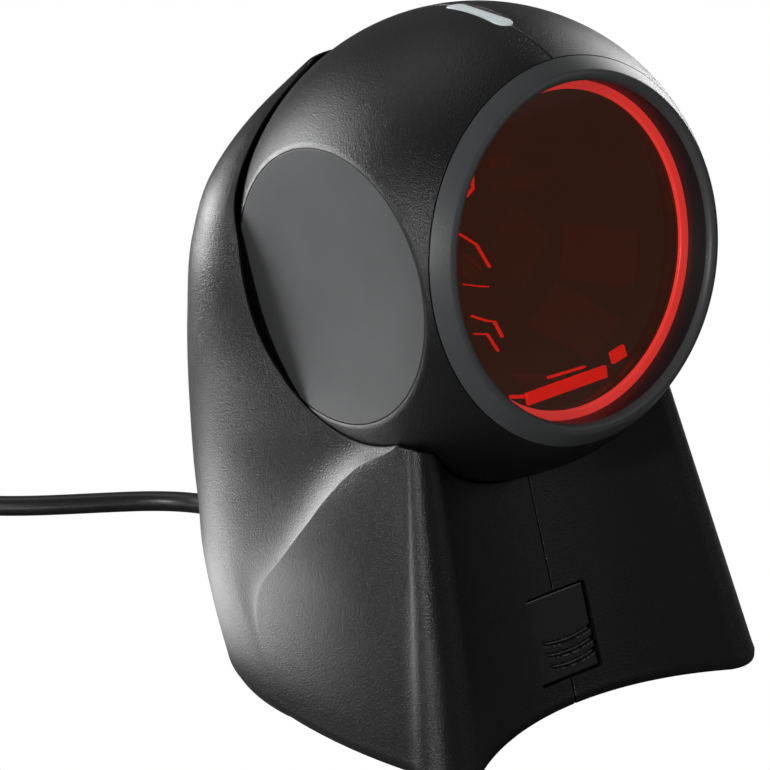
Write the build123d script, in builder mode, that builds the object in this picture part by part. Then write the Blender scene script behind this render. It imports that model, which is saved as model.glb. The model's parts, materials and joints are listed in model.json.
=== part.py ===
from build123d import *
import os
from math import cos, radians, sin

# Hands-free presentation barcode scanner: a round laser scan head cradled in a sculpted stand.
# Frame: millimetres, +Z up, origin on the table below the centre of the ball.
# The scan window faces -Y, +X is the right side seen from the front.

os.makedirs("parts", exist_ok=True)

# ---------------------------------------------------------------- driving dimensions
BALL_RADIUS = 51.0
BALL_HEIGHT = 98.0            # centre of the ball above the table
HEAD_TILT = 11.4              # window axis above the horizontal at rest, degrees
TILT_DOWN = 11.4              # travel from rest to a level window
TILT_UP = 18.6                # travel from rest to 30 degrees up
SHELL_WALL = 2.2
STAND_WALL = 2.4
FIT_GAP = 0.1                 # assembly gap between parts that meet

CAP_PLANE = 41.4              # outer face of the flat side caps, from the middle
CAP_RADIUS = 29.3
CAP_THICKNESS = 1.4
BEZEL_SEAM = 30.9             # seam between shell and bezel, along the window axis
LIP_RADIUS = 35.5             # wall of the window recess
WINDOW_DEPTH = 24.4           # back face of the window, along the window axis
WINDOW_THICKNESS = 2.2
BEZEL_BACK = 22.5             # back of the bezel's spigot, along the window axis
SPIGOT_RADIUS = 37.5

RIM_PEAK = (-17.0, 67.0)      # side view (y, z) of the stand's rim, from the leg's peak to the hood's top
RIM_DIP = ((-9.0, 64.7), (-4.0, 64.6), (3.4, 67.8), (11.6, 76.4))
RIM_TOP = (44.0, 131.0)
HOOD_TOP = 130.6

STUD_ANGLE = 40.0             # tilt studs, degrees back from straight down
STUD_X = 12.0
STUD_RADIUS = 2.0

centre = Vector(0, 0, BALL_HEIGHT)
tilt = radians(HEAD_TILT)

# Head plane: local X right, local Y up, local Z out through the window
head = Plane(origin=centre, x_dir=(1, 0, 0), z_dir=(0, -cos(tilt), sin(tilt)))
# Half-section plane of the head: sketch x = radius, sketch y = distance along the window axis
head_section = Plane(origin=centre, x_dir=(1, 0, 0), z_dir=-head.y_dir)
window_axis = Axis(centre, head.z_dir)
pivot_axis = Axis(centre, (1, 0, 0))
middle = Plane(origin=centre, x_dir=(0, 1, 0), z_dir=(1, 0, 0))


def save(part, name):
    part.label = name
    export_step(part, f"parts/{name}.step")


def side_plane(side, distance):
    """Plane facing +X or -X at a distance from the middle, seen with local Y up the head."""
    return Plane(origin=centre + Vector(side * distance, 0, 0), x_dir=head.z_dir, z_dir=(side, 0, 0))


def half(body, side):
    """The half of a body on one side of the middle plane."""
    with BuildPart() as piece:
        add(body)
        split(bisect_by=Plane.YZ, keep=Keep.TOP if side > 0 else Keep.BOTTOM)
    return piece.part


def rear_direction(angle):
    """Unit vector in the middle plane, an angle back from straight down."""
    return Vector(0, sin(radians(angle)), -cos(radians(angle)))


def rear_wedge(x_low, x_high, r_low, r_high, angle_low, angle_high):
    """Ring sector around the tilt axis, between two angles back from straight down."""
    start = Plane(origin=centre, x_dir=(1, 0, 0), z_dir=rear_direction(angle_low + 90))
    with BuildPart() as wedge:
        with BuildSketch(start):
            with Locations(((x_low + x_high) / 2, (r_low + r_high) / 2)):
                Rectangle(x_high - x_low, r_high - r_low)
        revolve(axis=pivot_axis, revolution_arc=angle_high - angle_low)
    return wedge.part


# ---------------------------------------------------------------- stand outline
# Horizontal sections of the stand: height, half-width, y of the widest point, y of the back,
# x and y of the shoulder crease, and how far the section is drawn in
STAND_SECTIONS = (
    (0.8, 50.9, 4.0, 56.0, 50.5, -6.0, 0.5),
    (4.0, 51.0, 6.0, 56.5, 50.7, -4.0, 0.0),
    (15.0, 51.0, 14.0, 58.0, 50.4, 7.0, 0.0),
    (28.0, 50.2, 21.0, 59.5, 49.2, 14.0, 0.0),
    (45.0, 49.4, 27.0, 61.0, 46.0, 4.0, 0.0),
    (62.0, 49.1, 30.0, 61.5, 40.0, -7.0, 0.0),
    (80.0, 48.8, 31.0, 61.0, 42.0, -3.0, 0.0),
    (98.0, 46.5, 33.0, 58.8, 41.0, 8.0, 0.0),
    (110.0, 41.0, 35.0, 55.5, 36.5, 18.0, 0.0),
    (121.0, 27.5, 39.0, 50.5, 25.0, 28.0, 0.0),
    (HOOD_TOP, 8.5, 42.0, 46.5, 7.5, 37.0, 0.0),
)
FOOT_HEIGHT, LEG_TOP = 4.0, 66.8
PANEL_FOOT, PANEL_SLOPE = -33.2, 0.337        # front panel in the middle plane: y = foot + slope z
LEG_EDGES = (                                 # leg corner: inner edge, corner and outer edge,
    ((36.0, -41.6), (31.6, -21.8)),           # each as (x, y) at the foot and at the leg's top
    ((43.8, -42.3), (34.9, -21.6)),
    ((47.7, -33.0), (36.6, -18.4)),
)
HOOD_DRAFT = 0.45                             # how far the hidden front leans back above the legs
LEG_BULGE = 0.04                              # height of the leg side's arc over its chord


def mirrored(point):
    return (-point[0], point[1])


def leg_point(edge, z, shoulder_x, inset):
    """Point of a leg edge at a height; above the legs it narrows with the hood."""
    foot, top = edge
    share = min(1.0, (z - FOOT_HEIGHT) / (LEG_TOP - FOOT_HEIGHT))
    narrowing = min(1.0, shoulder_x / LEG_EDGES[1][1][0] * 0.85) if z > LEG_TOP else 1.0
    x = (foot[0] + (top[0] - foot[0]) * share) * narrowing
    y = foot[1] + (top[1] - foot[1]) * share + HOOD_DRAFT * max(0.0, z - LEG_TOP)
    return (x - 0.7 * inset, y + 0.7 * inset)


def stand_section(row, wall):
    """Closed outline of the stand at one height, drawn in by a wall thickness."""
    z, side_x, side_y, back_y, shoulder_x, shoulder_y, drawn_in = row
    inset = wall + drawn_in
    inner, corner, outer = (leg_point(edge, z, shoulder_x, inset) for edge in LEG_EDGES)
    front = (0, PANEL_FOOT + PANEL_SLOPE * z + inset)
    shoulder = (shoulder_x - inset, shoulder_y)
    side = (side_x - inset, side_y)
    depth = back_y - inset - side_y
    chord = Vector(shoulder) - Vector(outer)
    leg_middle = (Vector(shoulder) + Vector(outer)) / 2 + Vector(chord.Y, -chord.X) * LEG_BULGE
    leg_middle = (leg_middle.X, leg_middle.Y)
    back = [(side[0] * cos(radians(a)), side_y + depth * sin(radians(a))) for a in range(0, 181, 30)]
    run_out = (side[0] - shoulder[0] + 0.5, side[1] - shoulder[1])
    with BuildSketch(Plane.XY.offset(z)) as section_sketch:
        with BuildLine():
            ThreePointArc(mirrored(inner), front, inner)
            ThreePointArc(inner, corner, outer)
            ThreePointArc(outer, leg_middle, shoulder)
            Spline(shoulder, *back, mirrored(shoulder), tangents=[run_out, (run_out[0], -run_out[1])])
            ThreePointArc(mirrored(shoulder), mirrored(leg_middle), mirrored(outer))
            ThreePointArc(mirrored(outer), mirrored(corner), mirrored(inner))
        make_face()
    return section_sketch.sketch


def stand_solid(wall=0.0):
    with BuildPart() as solid:
        for row in STAND_SECTIONS:
            add(stand_section(row, wall))
        loft(ruled=True)
    return solid.part


def rim_cut():
    """Everything in front of and above the stand's rim, seen from the side."""
    reach, sky = -80.0, 150.0
    with BuildPart() as cut:
        with BuildSketch(Plane.YZ):
            with BuildLine():
                Polyline((reach, RIM_PEAK[1]), RIM_PEAK, *RIM_DIP, RIM_TOP,
                         (RIM_TOP[0], sky), (reach, sky), close=True)
            make_face()
        extrude(amount=70, both=True)
    return cut.part


# ---------------------------------------------------------------- stand shells
CUP_RADIUS = BALL_RADIUS + 0.4
INNER_WALL_TOP = HOOD_TOP - STAND_WALL
BADGE_SIZE = (17.4, 19.0)
BADGE_THICKNESS = 2.0
BADGE_DEPTH = 1.9             # pocket floor below the panel surface
BADGE_Z = 15.8
badge_plane = Plane(origin=(0, PANEL_FOOT + PANEL_SLOPE * BADGE_Z, BADGE_Z), x_dir=(1, 0, 0),
                    z_dir=(0, -1, PANEL_SLOPE))
BASE_PLATE_BOTTOM = 1.4
BASE_PLATE_THICKNESS = 2.6
BASE_TOP = BASE_PLATE_BOTTOM + BASE_PLATE_THICKNESS
FOOT_SPOTS = ((-38.0, -31.0), (38.0, -31.0), (-28.0, 33.0), (28.0, 33.0))
BASE_SCREW_SPOTS = ((-41.5, -14.0), (41.5, -14.0), (-20.0, 43.5), (20.0, 43.5))
SCREW_SHANK = 1.45
SCREW_HEAD = 2.8
BOSS_RADIUS = 3.6
BOSS_HEIGHT = 16.0
RIB_WIDTH = 2.4
CABLE_RADIUS = 2.4
CABLE_EXIT_Z = 9.0
BOOT_RADIUS = 4.4
SCREW_LENGTH = 12.0
SCREW_HEAD_HEIGHT = 1.6
cable_plane = Plane(origin=(0, 45, CABLE_EXIT_Z), x_dir=(1, 0, 0), z_dir=(0, 1, 0))

with BuildPart() as inner_hollow:
    add(stand_solid(STAND_WALL))
    with Locations((0, 0, INNER_WALL_TOP + 25)):
        Box(120, 140, 50, mode=Mode.SUBTRACT)

outer_stand = stand_solid()
with BuildPart() as base_bosses:
    with BuildSketch(Plane.XY.offset(BASE_TOP + FIT_GAP)):
        with Locations(*BASE_SCREW_SPOTS):
            Circle(BOSS_RADIUS)
        with Locations((-46.0, BASE_SCREW_SPOTS[0][1]), (46.0, BASE_SCREW_SPOTS[1][1])):
            Rectangle(9, RIB_WIDTH)
        with Locations((BASE_SCREW_SPOTS[2][0], 48.5), (BASE_SCREW_SPOTS[3][0], 48.5)):
            Rectangle(RIB_WIDTH, 10)
    extrude(amount=BOSS_HEIGHT)
    add(stand_solid(STAND_WALL / 2), mode=Mode.INTERSECT)

with BuildPart() as stand_shell:
    add(outer_stand)
    add(rim_cut(), mode=Mode.SUBTRACT)
    with Locations(Location(centre, (0, 0, 90))):
        Sphere(CUP_RADIUS, mode=Mode.SUBTRACT)
    add(inner_hollow.part, mode=Mode.SUBTRACT)
    add(base_bosses.part)
    with BuildSketch(Plane.XY.offset(BASE_TOP)):
        with Locations(*BASE_SCREW_SPOTS):
            Circle(SCREW_SHANK + 0.05)
    extrude(amount=SCREW_LENGTH, mode=Mode.SUBTRACT)
    with BuildSketch(badge_plane.offset(-BADGE_DEPTH)):
        RectangleRounded(BADGE_SIZE[0] + 2 * FIT_GAP, BADGE_SIZE[1] + 2 * FIT_GAP, 0.8)
    extrude(amount=8, mode=Mode.SUBTRACT)
    with BuildSketch(cable_plane):
        Circle(BOOT_RADIUS + FIT_GAP)
    extrude(amount=30, mode=Mode.SUBTRACT)

right_shell = half(stand_shell.part, 1)
save(mirror(right_shell, about=Plane.YZ), "stand_shell_left")
save(right_shell, "stand_shell_right")

with BuildPart() as badge_plate:
    with BuildSketch(badge_plane.offset(FIT_GAP - BADGE_DEPTH)):
        RectangleRounded(*BADGE_SIZE, 0.7)
    extrude(amount=BADGE_THICKNESS)
    for step in range(3):
        with BuildSketch(badge_plane.offset(FIT_GAP - BADGE_DEPTH + BADGE_THICKNESS - 0.5)):
            with Locations((2.0, -1.6 - 2.6 * step)):
                SlotOverall(11.0, 1.1)
        extrude(amount=1, mode=Mode.SUBTRACT)
save(badge_plate.part, "badge_plate")

# ---------------------------------------------------------------- base
PLATE_EDGE_GAP = 4.5          # base plate edge inside the stand's outer edge
FOOT_PAD_RADIUS = 6.0
FOOT_PAD_RECESS = 0.8
INSERT_SPACING = 50.0         # fixing threads for a counter mount, M4
INSERT_RADIUS = 2.8
INSERT_BORE = 2.0
FIXING_BOSS_RADIUS = 5.0      # bosses round the fixing threads, level with the feet
BALLAST_THICKNESS = 4.0
insert_spots = ((-INSERT_SPACING / 2, 0), (INSERT_SPACING / 2, 0))
BRACKET_SCREW_SPOTS = ((-12.0, 21.0), (12.0, 21.0), (-12.0, 37.0), (12.0, 37.0))

with BuildPart() as base_plate:
    plate_outline = stand_section(STAND_SECTIONS[1], PLATE_EDGE_GAP)
    add(plate_outline.moved(Location((0, 0, BASE_PLATE_BOTTOM - FOOT_HEIGHT))))
    extrude(amount=BASE_PLATE_THICKNESS)
    with BuildSketch(Plane.XY):
        with Locations(*insert_spots):
            Circle(FIXING_BOSS_RADIUS)
    extrude(amount=BASE_TOP)
    with BuildSketch(Plane.XY.offset(BASE_PLATE_BOTTOM)):
        with Locations(*FOOT_SPOTS):
            Circle(FOOT_PAD_RADIUS + FIT_GAP)
    extrude(amount=FOOT_PAD_RECESS, mode=Mode.SUBTRACT)
    with BuildSketch(Plane.XY.offset(BASE_PLATE_BOTTOM)):
        with Locations(*BASE_SCREW_SPOTS, *BRACKET_SCREW_SPOTS):
            Circle(SCREW_SHANK + FIT_GAP)
    extrude(amount=BASE_PLATE_THICKNESS, mode=Mode.SUBTRACT)
    with BuildSketch(Plane.XY):
        with Locations(*insert_spots):
            Circle(INSERT_RADIUS)
    extrude(amount=BASE_TOP, mode=Mode.SUBTRACT)
    with BuildSketch(Plane.XY.offset(BASE_PLATE_BOTTOM)):
        with Locations(*BASE_SCREW_SPOTS, *BRACKET_SCREW_SPOTS):
            Circle(SCREW_HEAD + FIT_GAP)
    extrude(amount=SCREW_HEAD_HEIGHT + FIT_GAP, mode=Mode.SUBTRACT)
save(base_plate.part, "base_plate")

with BuildPart() as rubber_feet:
    with BuildSketch(Plane.XY):
        with Locations(*FOOT_SPOTS):
            Circle(FOOT_PAD_RADIUS)
    extrude(amount=BASE_PLATE_BOTTOM + FOOT_PAD_RECESS)
    chamfer(rubber_feet.faces().group_by(Axis.Z)[0].edges(), 0.4)
save(rubber_feet.part, "rubber_feet")

with BuildPart() as threaded_inserts:
    with BuildSketch(Plane.XY):
        with Locations(*insert_spots):
            Circle(INSERT_RADIUS)
            Circle(INSERT_BORE, mode=Mode.SUBTRACT)
    extrude(amount=BASE_TOP + BALLAST_THICKNESS)
save(threaded_inserts.part, "threaded_inserts")

with BuildPart() as ballast_plate:
    with BuildSketch(Plane.XY.offset(BASE_TOP)):
        with Locations((0, -6.5)):
            RectangleRounded(76, 39, 8)
        with Locations(*insert_spots):
            Circle(INSERT_RADIUS + FIT_GAP, mode=Mode.SUBTRACT)
        with Locations(*BASE_SCREW_SPOTS):
            Circle(BOSS_RADIUS + 0.5, mode=Mode.SUBTRACT)
    extrude(amount=BALLAST_THICKNESS)
save(ballast_plate.part, "ballast_plate")


def screws_up(spots, z, length):
    """Pan-head screws pointing up, with their heads below a height."""
    with BuildPart() as group:
        with BuildSketch(Plane.XY.offset(z)):
            with Locations(*spots):
                Circle(SCREW_HEAD)
        extrude(amount=SCREW_HEAD_HEIGHT)
        with BuildSketch(Plane.XY.offset(z + SCREW_HEAD_HEIGHT)):
            with Locations(*spots):
                Circle(SCREW_SHANK)
        extrude(amount=length)
        with BuildSketch(Plane.XY.offset(z)):
            with Locations(*spots):
                Rectangle(2.6, 0.7)
                Rectangle(0.7, 2.6)
        extrude(amount=0.8, mode=Mode.SUBTRACT)
    return group.part


save(screws_up(BASE_SCREW_SPOTS, BASE_PLATE_BOTTOM, 9), "base_screws")
save(screws_up(BRACKET_SCREW_SPOTS, BASE_PLATE_BOTTOM, 5), "bracket_screws")

# ---------------------------------------------------------------- tilt mechanism in the stand
PAD_INNER, PAD_OUTER = BALL_RADIUS + 0.05, BALL_RADIUS + 0.85
SADDLE_OUTER = BALL_RADIUS + 4.3
SADDLE_HALF_WIDTH = 17.0
SADDLE_REACH = 17.0           # saddle, degrees either side of the studs
CLAMP_REACH = 9.0
CLAMP_OUTER = BALL_RADIUS - SHELL_WALL - 0.1
CLAMP_INNER = CLAMP_OUTER - 2.2
STUD_SEAT = CLAMP_INNER - 1.2         # under the stud's head, measured in the middle plane
STUD_HEAD_RADIUS, STUD_HEAD_HEIGHT = 3.4, 2.0
NUT_SEAT = SADDLE_OUTER - 2.1
NUT_RADIUS, NUT_HEIGHT = 3.3, 2.4
COLUMN_Y = (21.0, 37.0)
stud_plane = Plane(origin=centre, x_dir=(1, 0, 0), z_dir=rear_direction(STUD_ANGLE))
stud_spots = ((-STUD_X, 0), (STUD_X, 0))


def stud_bores(radius, start, length):
    """Two cylinders along the stud axes, from a distance out of the ball's centre."""
    with BuildPart() as bores:
        with BuildSketch(stud_plane.offset(start)):
            with Locations(*stud_spots):
                Circle(radius)
        extrude(amount=length)
    return bores.part


def cup_piece(half_width, r_low, r_high, reach):
    """Piece of a spherical shell centred on the studs."""
    with BuildPart() as piece:
        add(rear_wedge(-half_width, half_width, r_low - 12, r_high + 6,
                       STUD_ANGLE - reach, STUD_ANGLE + reach))
        with Locations(Location(centre, (0, 0, 90))):
            Sphere(r_high, mode=Mode.INTERSECT)
        with Locations(Location(centre, (0, 0, 90))):
            Sphere(r_low, mode=Mode.SUBTRACT)
    return piece.part


with BuildPart() as tilt_bracket:
    add(rear_wedge(-SADDLE_HALF_WIDTH, SADDLE_HALF_WIDTH, 30, SADDLE_OUTER + 6,
                   STUD_ANGLE - SADDLE_REACH, STUD_ANGLE + SADDLE_REACH))
    with Locations(Location(centre, (0, 0, 90))):
        Sphere(SADDLE_OUTER, mode=Mode.INTERSECT)
    with BuildSketch(Plane.XY.offset(BASE_TOP)):
        with Locations((0, sum(COLUMN_Y) / 2)):
            Rectangle(2 * 7.0, COLUMN_Y[1] - COLUMN_Y[0])
    extrude(amount=55)
    with BuildSketch(Plane.XY.offset(BASE_TOP)):
        with Locations((0, 29)):
            RectangleRounded(34, 24, 3)
    extrude(amount=4)
    with Locations(Location(centre, (0, 0, 90))):
        Sphere(PAD_OUTER + 0.05, mode=Mode.SUBTRACT)
    add(stud_bores(STUD_RADIUS + FIT_GAP, 40, 20), mode=Mode.SUBTRACT)
    add(stud_bores(NUT_RADIUS + 0.5, NUT_SEAT, 20), mode=Mode.SUBTRACT)
    with BuildSketch(Plane.XY.offset(BASE_TOP)):
        with Locations(*BRACKET_SCREW_SPOTS):
            Circle(SCREW_SHANK + 0.05)
    extrude(amount=4, mode=Mode.SUBTRACT)
save(tilt_bracket.part, "tilt_bracket")

with BuildPart() as friction_pad:
    add(cup_piece(SADDLE_HALF_WIDTH - 1, PAD_INNER, PAD_OUTER, SADDLE_REACH - 1))
    add(stud_bores(STUD_RADIUS + FIT_GAP, 40, 20), mode=Mode.SUBTRACT)
save(friction_pad.part, "friction_pad")

with BuildPart() as clamp_plate:
    add(cup_piece(SADDLE_HALF_WIDTH, CLAMP_INNER, CLAMP_OUTER, CLAMP_REACH))
    add(stud_bores(STUD_RADIUS + FIT_GAP, 40, 20), mode=Mode.SUBTRACT)
    add(stud_bores(STUD_HEAD_RADIUS + 0.3, 38, STUD_SEAT - 38), mode=Mode.SUBTRACT)
save(clamp_plate.part, "clamp_plate")

with BuildPart() as clamp_studs:
    add(stud_bores(STUD_RADIUS, STUD_SEAT, NUT_SEAT + NUT_HEIGHT + 0.6 - STUD_SEAT))
    add(stud_bores(STUD_HEAD_RADIUS, STUD_SEAT - STUD_HEAD_HEIGHT, STUD_HEAD_HEIGHT))
save(clamp_studs.part, "clamp_studs")

with BuildPart() as clamp_nuts:
    with BuildSketch(stud_plane.offset(NUT_SEAT)):
        with Locations(*stud_spots):
            RegularPolygon(NUT_RADIUS, 6)
            Circle(STUD_RADIUS, mode=Mode.SUBTRACT)
    extrude(amount=NUT_HEIGHT)
save(clamp_nuts.part, "clamp_nuts")

# ---------------------------------------------------------------- cable
CABLE_TABLE_Z = CABLE_RADIUS + 0.3
CABLE_TOP = (0, 54.5, 84)
CABLE_TURN = (0, 49, 26)
CABLE_POINTS = (
    (0, 51.4, 14.4),
    (0, 58, 9.2),
    (0.3, 70, 7.6),
    (1.8, 84, 4.6),
    (3.4, 97, CABLE_TABLE_Z + 0.1),
    (-4, 112, CABLE_TABLE_Z),
    (-28, 131, CABLE_TABLE_Z),
    (-46, 149, CABLE_TABLE_Z),
)


def cable_run(radius):
    """The cable's route down the stand's back, out through the wall and along the table."""
    with BuildPart() as run:
        with BuildLine() as route:
            fall = Line(CABLE_TOP, CABLE_TURN)
            Spline(fall @ 1, *CABLE_POINTS)
        with BuildSketch(Plane(origin=CABLE_TOP, z_dir=fall % 0)):
            Circle(radius)
        sweep()
    return run.part


save(cable_run(CABLE_RADIUS), "cable")

with BuildPart() as strain_relief:
    with BuildSketch(cable_plane.offset(8.5)):
        Circle(BOOT_RADIUS)
    extrude(amount=5)
    with BuildSketch(cable_plane.offset(13.5)):
        Circle(BOOT_RADIUS)
    with BuildSketch(cable_plane.offset(19)):
        Circle(BOOT_RADIUS - 0.9)
    loft()
    add(cable_run(CABLE_RADIUS + 0.03), mode=Mode.SUBTRACT)
save(strain_relief.part, "strain_relief")

with BuildPart() as cable_clamp:
    with BuildSketch(Plane.XY.offset(44)):
        with Locations((0, 52.9)):
            RectangleRounded(10, 10.6, 1)
    extrude(amount=6)
    add(cable_run(CABLE_RADIUS + 0.03), mode=Mode.SUBTRACT)
save(cable_clamp.part, "cable_clamp")

# ---------------------------------------------------------------- head shell
SHELL_INNER = BALL_RADIUS - SHELL_WALL
SHELL_FRONT = BEZEL_SEAM - 0.1
CAP_FLOOR = CAP_PLANE - CAP_THICKNESS
FLOOR_INNER = CAP_PLANE - 4.4         # inner face of the shell behind a side cap
SIDE_SCREW_SPOTS = ((4.0, -12.0), (4.0, 12.0))        # (along the window axis, up the head)
SIDE_HEAD_DEPTH = 1.8
SLOT_ANGLES = (STUD_ANGLE - TILT_DOWN - 3.0, STUD_ANGLE + TILT_UP + 3.0)
SLOT_HALF_WIDTH = STUD_RADIUS + 0.15
LEAD_Y = 12.0                 # connector and rear lead, up the head from the window axis
LEAD_OPENING = 7.0
BUTTON_SIZE = (18.5, 4.5)
BUTTON_GAP = 0.2
POST_X = 8.0
INDICATOR_Z = (41.0, 42.0)    # indicator board, above the ball's centre
top_plane = Plane(origin=centre, x_dir=(0, 1, 0), z_dir=(0, 0, 1))

with BuildPart() as head_shell:
    with Locations(Location(centre, (0, 90, 0))):
        Sphere(BALL_RADIUS)
        Box(130, 130, 2 * CAP_PLANE, mode=Mode.INTERSECT)
    with BuildPart(mode=Mode.PRIVATE) as cavity:
        with Locations(Location(centre, (0, 90, 0))):
            Sphere(SHELL_INNER)
            Box(130, 130, 2 * FLOOR_INNER, mode=Mode.INTERSECT)
        with BuildSketch(top_plane.offset(INDICATOR_Z[1])):
            with Locations((0, -POST_X), (0, POST_X)):
                Circle(2.2)
        extrude(amount=10, mode=Mode.SUBTRACT)
    add(cavity.part, mode=Mode.SUBTRACT)
    with BuildSketch(head.offset(SHELL_FRONT)):
        Circle(60)
    extrude(amount=40, mode=Mode.SUBTRACT)
    with BuildSketch(head.offset(BEZEL_BACK - 0.2)):
        Circle(SPIGOT_RADIUS + 0.15)
    extrude(amount=12, mode=Mode.SUBTRACT)
    for side in (-1, 1):
        with BuildSketch(side_plane(side, CAP_FLOOR)):
            Circle(CAP_RADIUS + FIT_GAP)
        extrude(amount=5, mode=Mode.SUBTRACT)
        with BuildSketch(side_plane(side, CAP_FLOOR)):
            with Locations(*SIDE_SCREW_SPOTS):
                Circle(SCREW_HEAD + FIT_GAP)
        extrude(amount=-SIDE_HEAD_DEPTH, mode=Mode.SUBTRACT)
        with BuildSketch(side_plane(side, CAP_FLOOR)):
            with Locations(*SIDE_SCREW_SPOTS):
                Circle(SCREW_SHANK + 0.05)
        extrude(amount=-5, mode=Mode.SUBTRACT)
        slot_edges = (side * STUD_X - SLOT_HALF_WIDTH, side * STUD_X + SLOT_HALF_WIDTH)
        add(rear_wedge(*slot_edges, 44, 56, *SLOT_ANGLES), mode=Mode.SUBTRACT)
    with BuildSketch(head.offset(-40)):
        with Locations((0, LEAD_Y)):
            Circle(LEAD_OPENING)
    extrude(amount=-20, mode=Mode.SUBTRACT)
    with BuildSketch(top_plane.offset(44)):
        SlotOverall(BUTTON_SIZE[0] + 2 * BUTTON_GAP, BUTTON_SIZE[1] + 2 * BUTTON_GAP)
    extrude(amount=12, mode=Mode.SUBTRACT)

save(half(head_shell.part, -1), "head_shell_left")
save(half(head_shell.part, 1), "head_shell_right")

for side, name in ((-1, "side_cap_left"), (1, "side_cap_right")):
    with BuildPart() as side_cap:
        with BuildSketch(side_plane(side, CAP_FLOOR)):
            Circle(CAP_RADIUS)
        extrude(amount=CAP_THICKNESS)
        chamfer(side_cap.faces().sort_by(Axis.X)[-1 if side > 0 else 0].edges(), 0.35)
    save(side_cap.part, name)

with BuildPart() as side_screws:
    for side in (-1, 1):
        with BuildSketch(side_plane(side, CAP_FLOOR - SIDE_HEAD_DEPTH)):
            with Locations(*SIDE_SCREW_SPOTS):
                Circle(SCREW_HEAD)
        extrude(amount=SCREW_HEAD_HEIGHT)
        with BuildSketch(side_plane(side, CAP_FLOOR - SIDE_HEAD_DEPTH)):
            with Locations(*SIDE_SCREW_SPOTS):
                Circle(SCREW_SHANK)
        extrude(amount=-3.6)
save(side_screws.part, "side_screws")

# ---------------------------------------------------------------- window and bezel
LEDGE_RADIUS = 33.5
LUG_CENTRE = 38.0             # screw lugs, from the window axis
LUG_SIZE = (5.8, 4.4)
SMALL_SHANK, SMALL_HEAD, SMALL_HEAD_HEIGHT = 1.0, 1.9, 1.2
LUG_SCREW = 38.6
seam_radius = (BALL_RADIUS ** 2 - BEZEL_SEAM ** 2) ** 0.5
crown = Vector(0.7385, 0.6743) * BALL_RADIUS          # bezel's front edge on the ball
shoulder_mid = Vector(0.7661, 0.6427) * BALL_RADIUS

with BuildPart() as front_bezel:
    with BuildSketch(head_section):
        with BuildLine():
            start = (LEDGE_RADIUS, BEZEL_BACK)
            Polyline(start, (SPIGOT_RADIUS, BEZEL_BACK), (SPIGOT_RADIUS, BEZEL_SEAM),
                     (seam_radius, BEZEL_SEAM))
            ThreePointArc((seam_radius, BEZEL_SEAM), (shoulder_mid.X, shoulder_mid.Y), (crown.X, crown.Y))
            ThreePointArc((crown.X, crown.Y), (36.1, 34.5), (LIP_RADIUS, 33.6))
            Polyline((LIP_RADIUS, 33.6), (LIP_RADIUS, WINDOW_DEPTH), (LEDGE_RADIUS, WINDOW_DEPTH), start)
        make_face()
    revolve(axis=window_axis)
    with BuildSketch(head.offset(BEZEL_BACK)):
        with PolarLocations(LUG_CENTRE, 4, 45):
            SlotOverall(*LUG_SIZE)
        Circle(SPIGOT_RADIUS - 1, mode=Mode.SUBTRACT)
    extrude(amount=3)
    with BuildSketch(head.offset(BEZEL_BACK)):
        with PolarLocations(LUG_SCREW, 4, 45):
            Circle(SMALL_SHANK + 0.05)
    extrude(amount=3, mode=Mode.SUBTRACT)
save(front_bezel.part, "front_bezel")

with BuildPart() as scan_window:
    with BuildSketch(head.offset(WINDOW_DEPTH)):
        Circle(LIP_RADIUS - FIT_GAP)
    extrude(amount=WINDOW_THICKNESS)
save(scan_window.part, "scan_window")

with BuildPart() as window_ring:
    with BuildSketch(head.offset(WINDOW_DEPTH + WINDOW_THICKNESS)):
        Circle(LIP_RADIUS - FIT_GAP)
        Circle(LIP_RADIUS - 1.9, mode=Mode.SUBTRACT)
    extrude(amount=0.9)
save(window_ring.part, "window_ring")

# ---------------------------------------------------------------- optics chassis
CHASSIS_RADIUS = 36.5
CHASSIS_WALL = 1.8
CHASSIS_TOP = BEZEL_BACK - 0.2
FLOOR_BACK = -2.0             # back face of the chassis floor, along the window axis
MOTOR_OPENING = 9.2
BOARD_SPOTS = ((-20, -20), (20, -20), (-20, 20), (20, 20))
BOARD_FRONT, BOARD_BACK = -12.0, -13.6
MIRROR_RING = 26.0            # middle of the pattern mirrors, from the window axis
MIRROR_D = 9.5
MIRROR_SIZE = (1.6, 12.0, 16.0)

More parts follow.
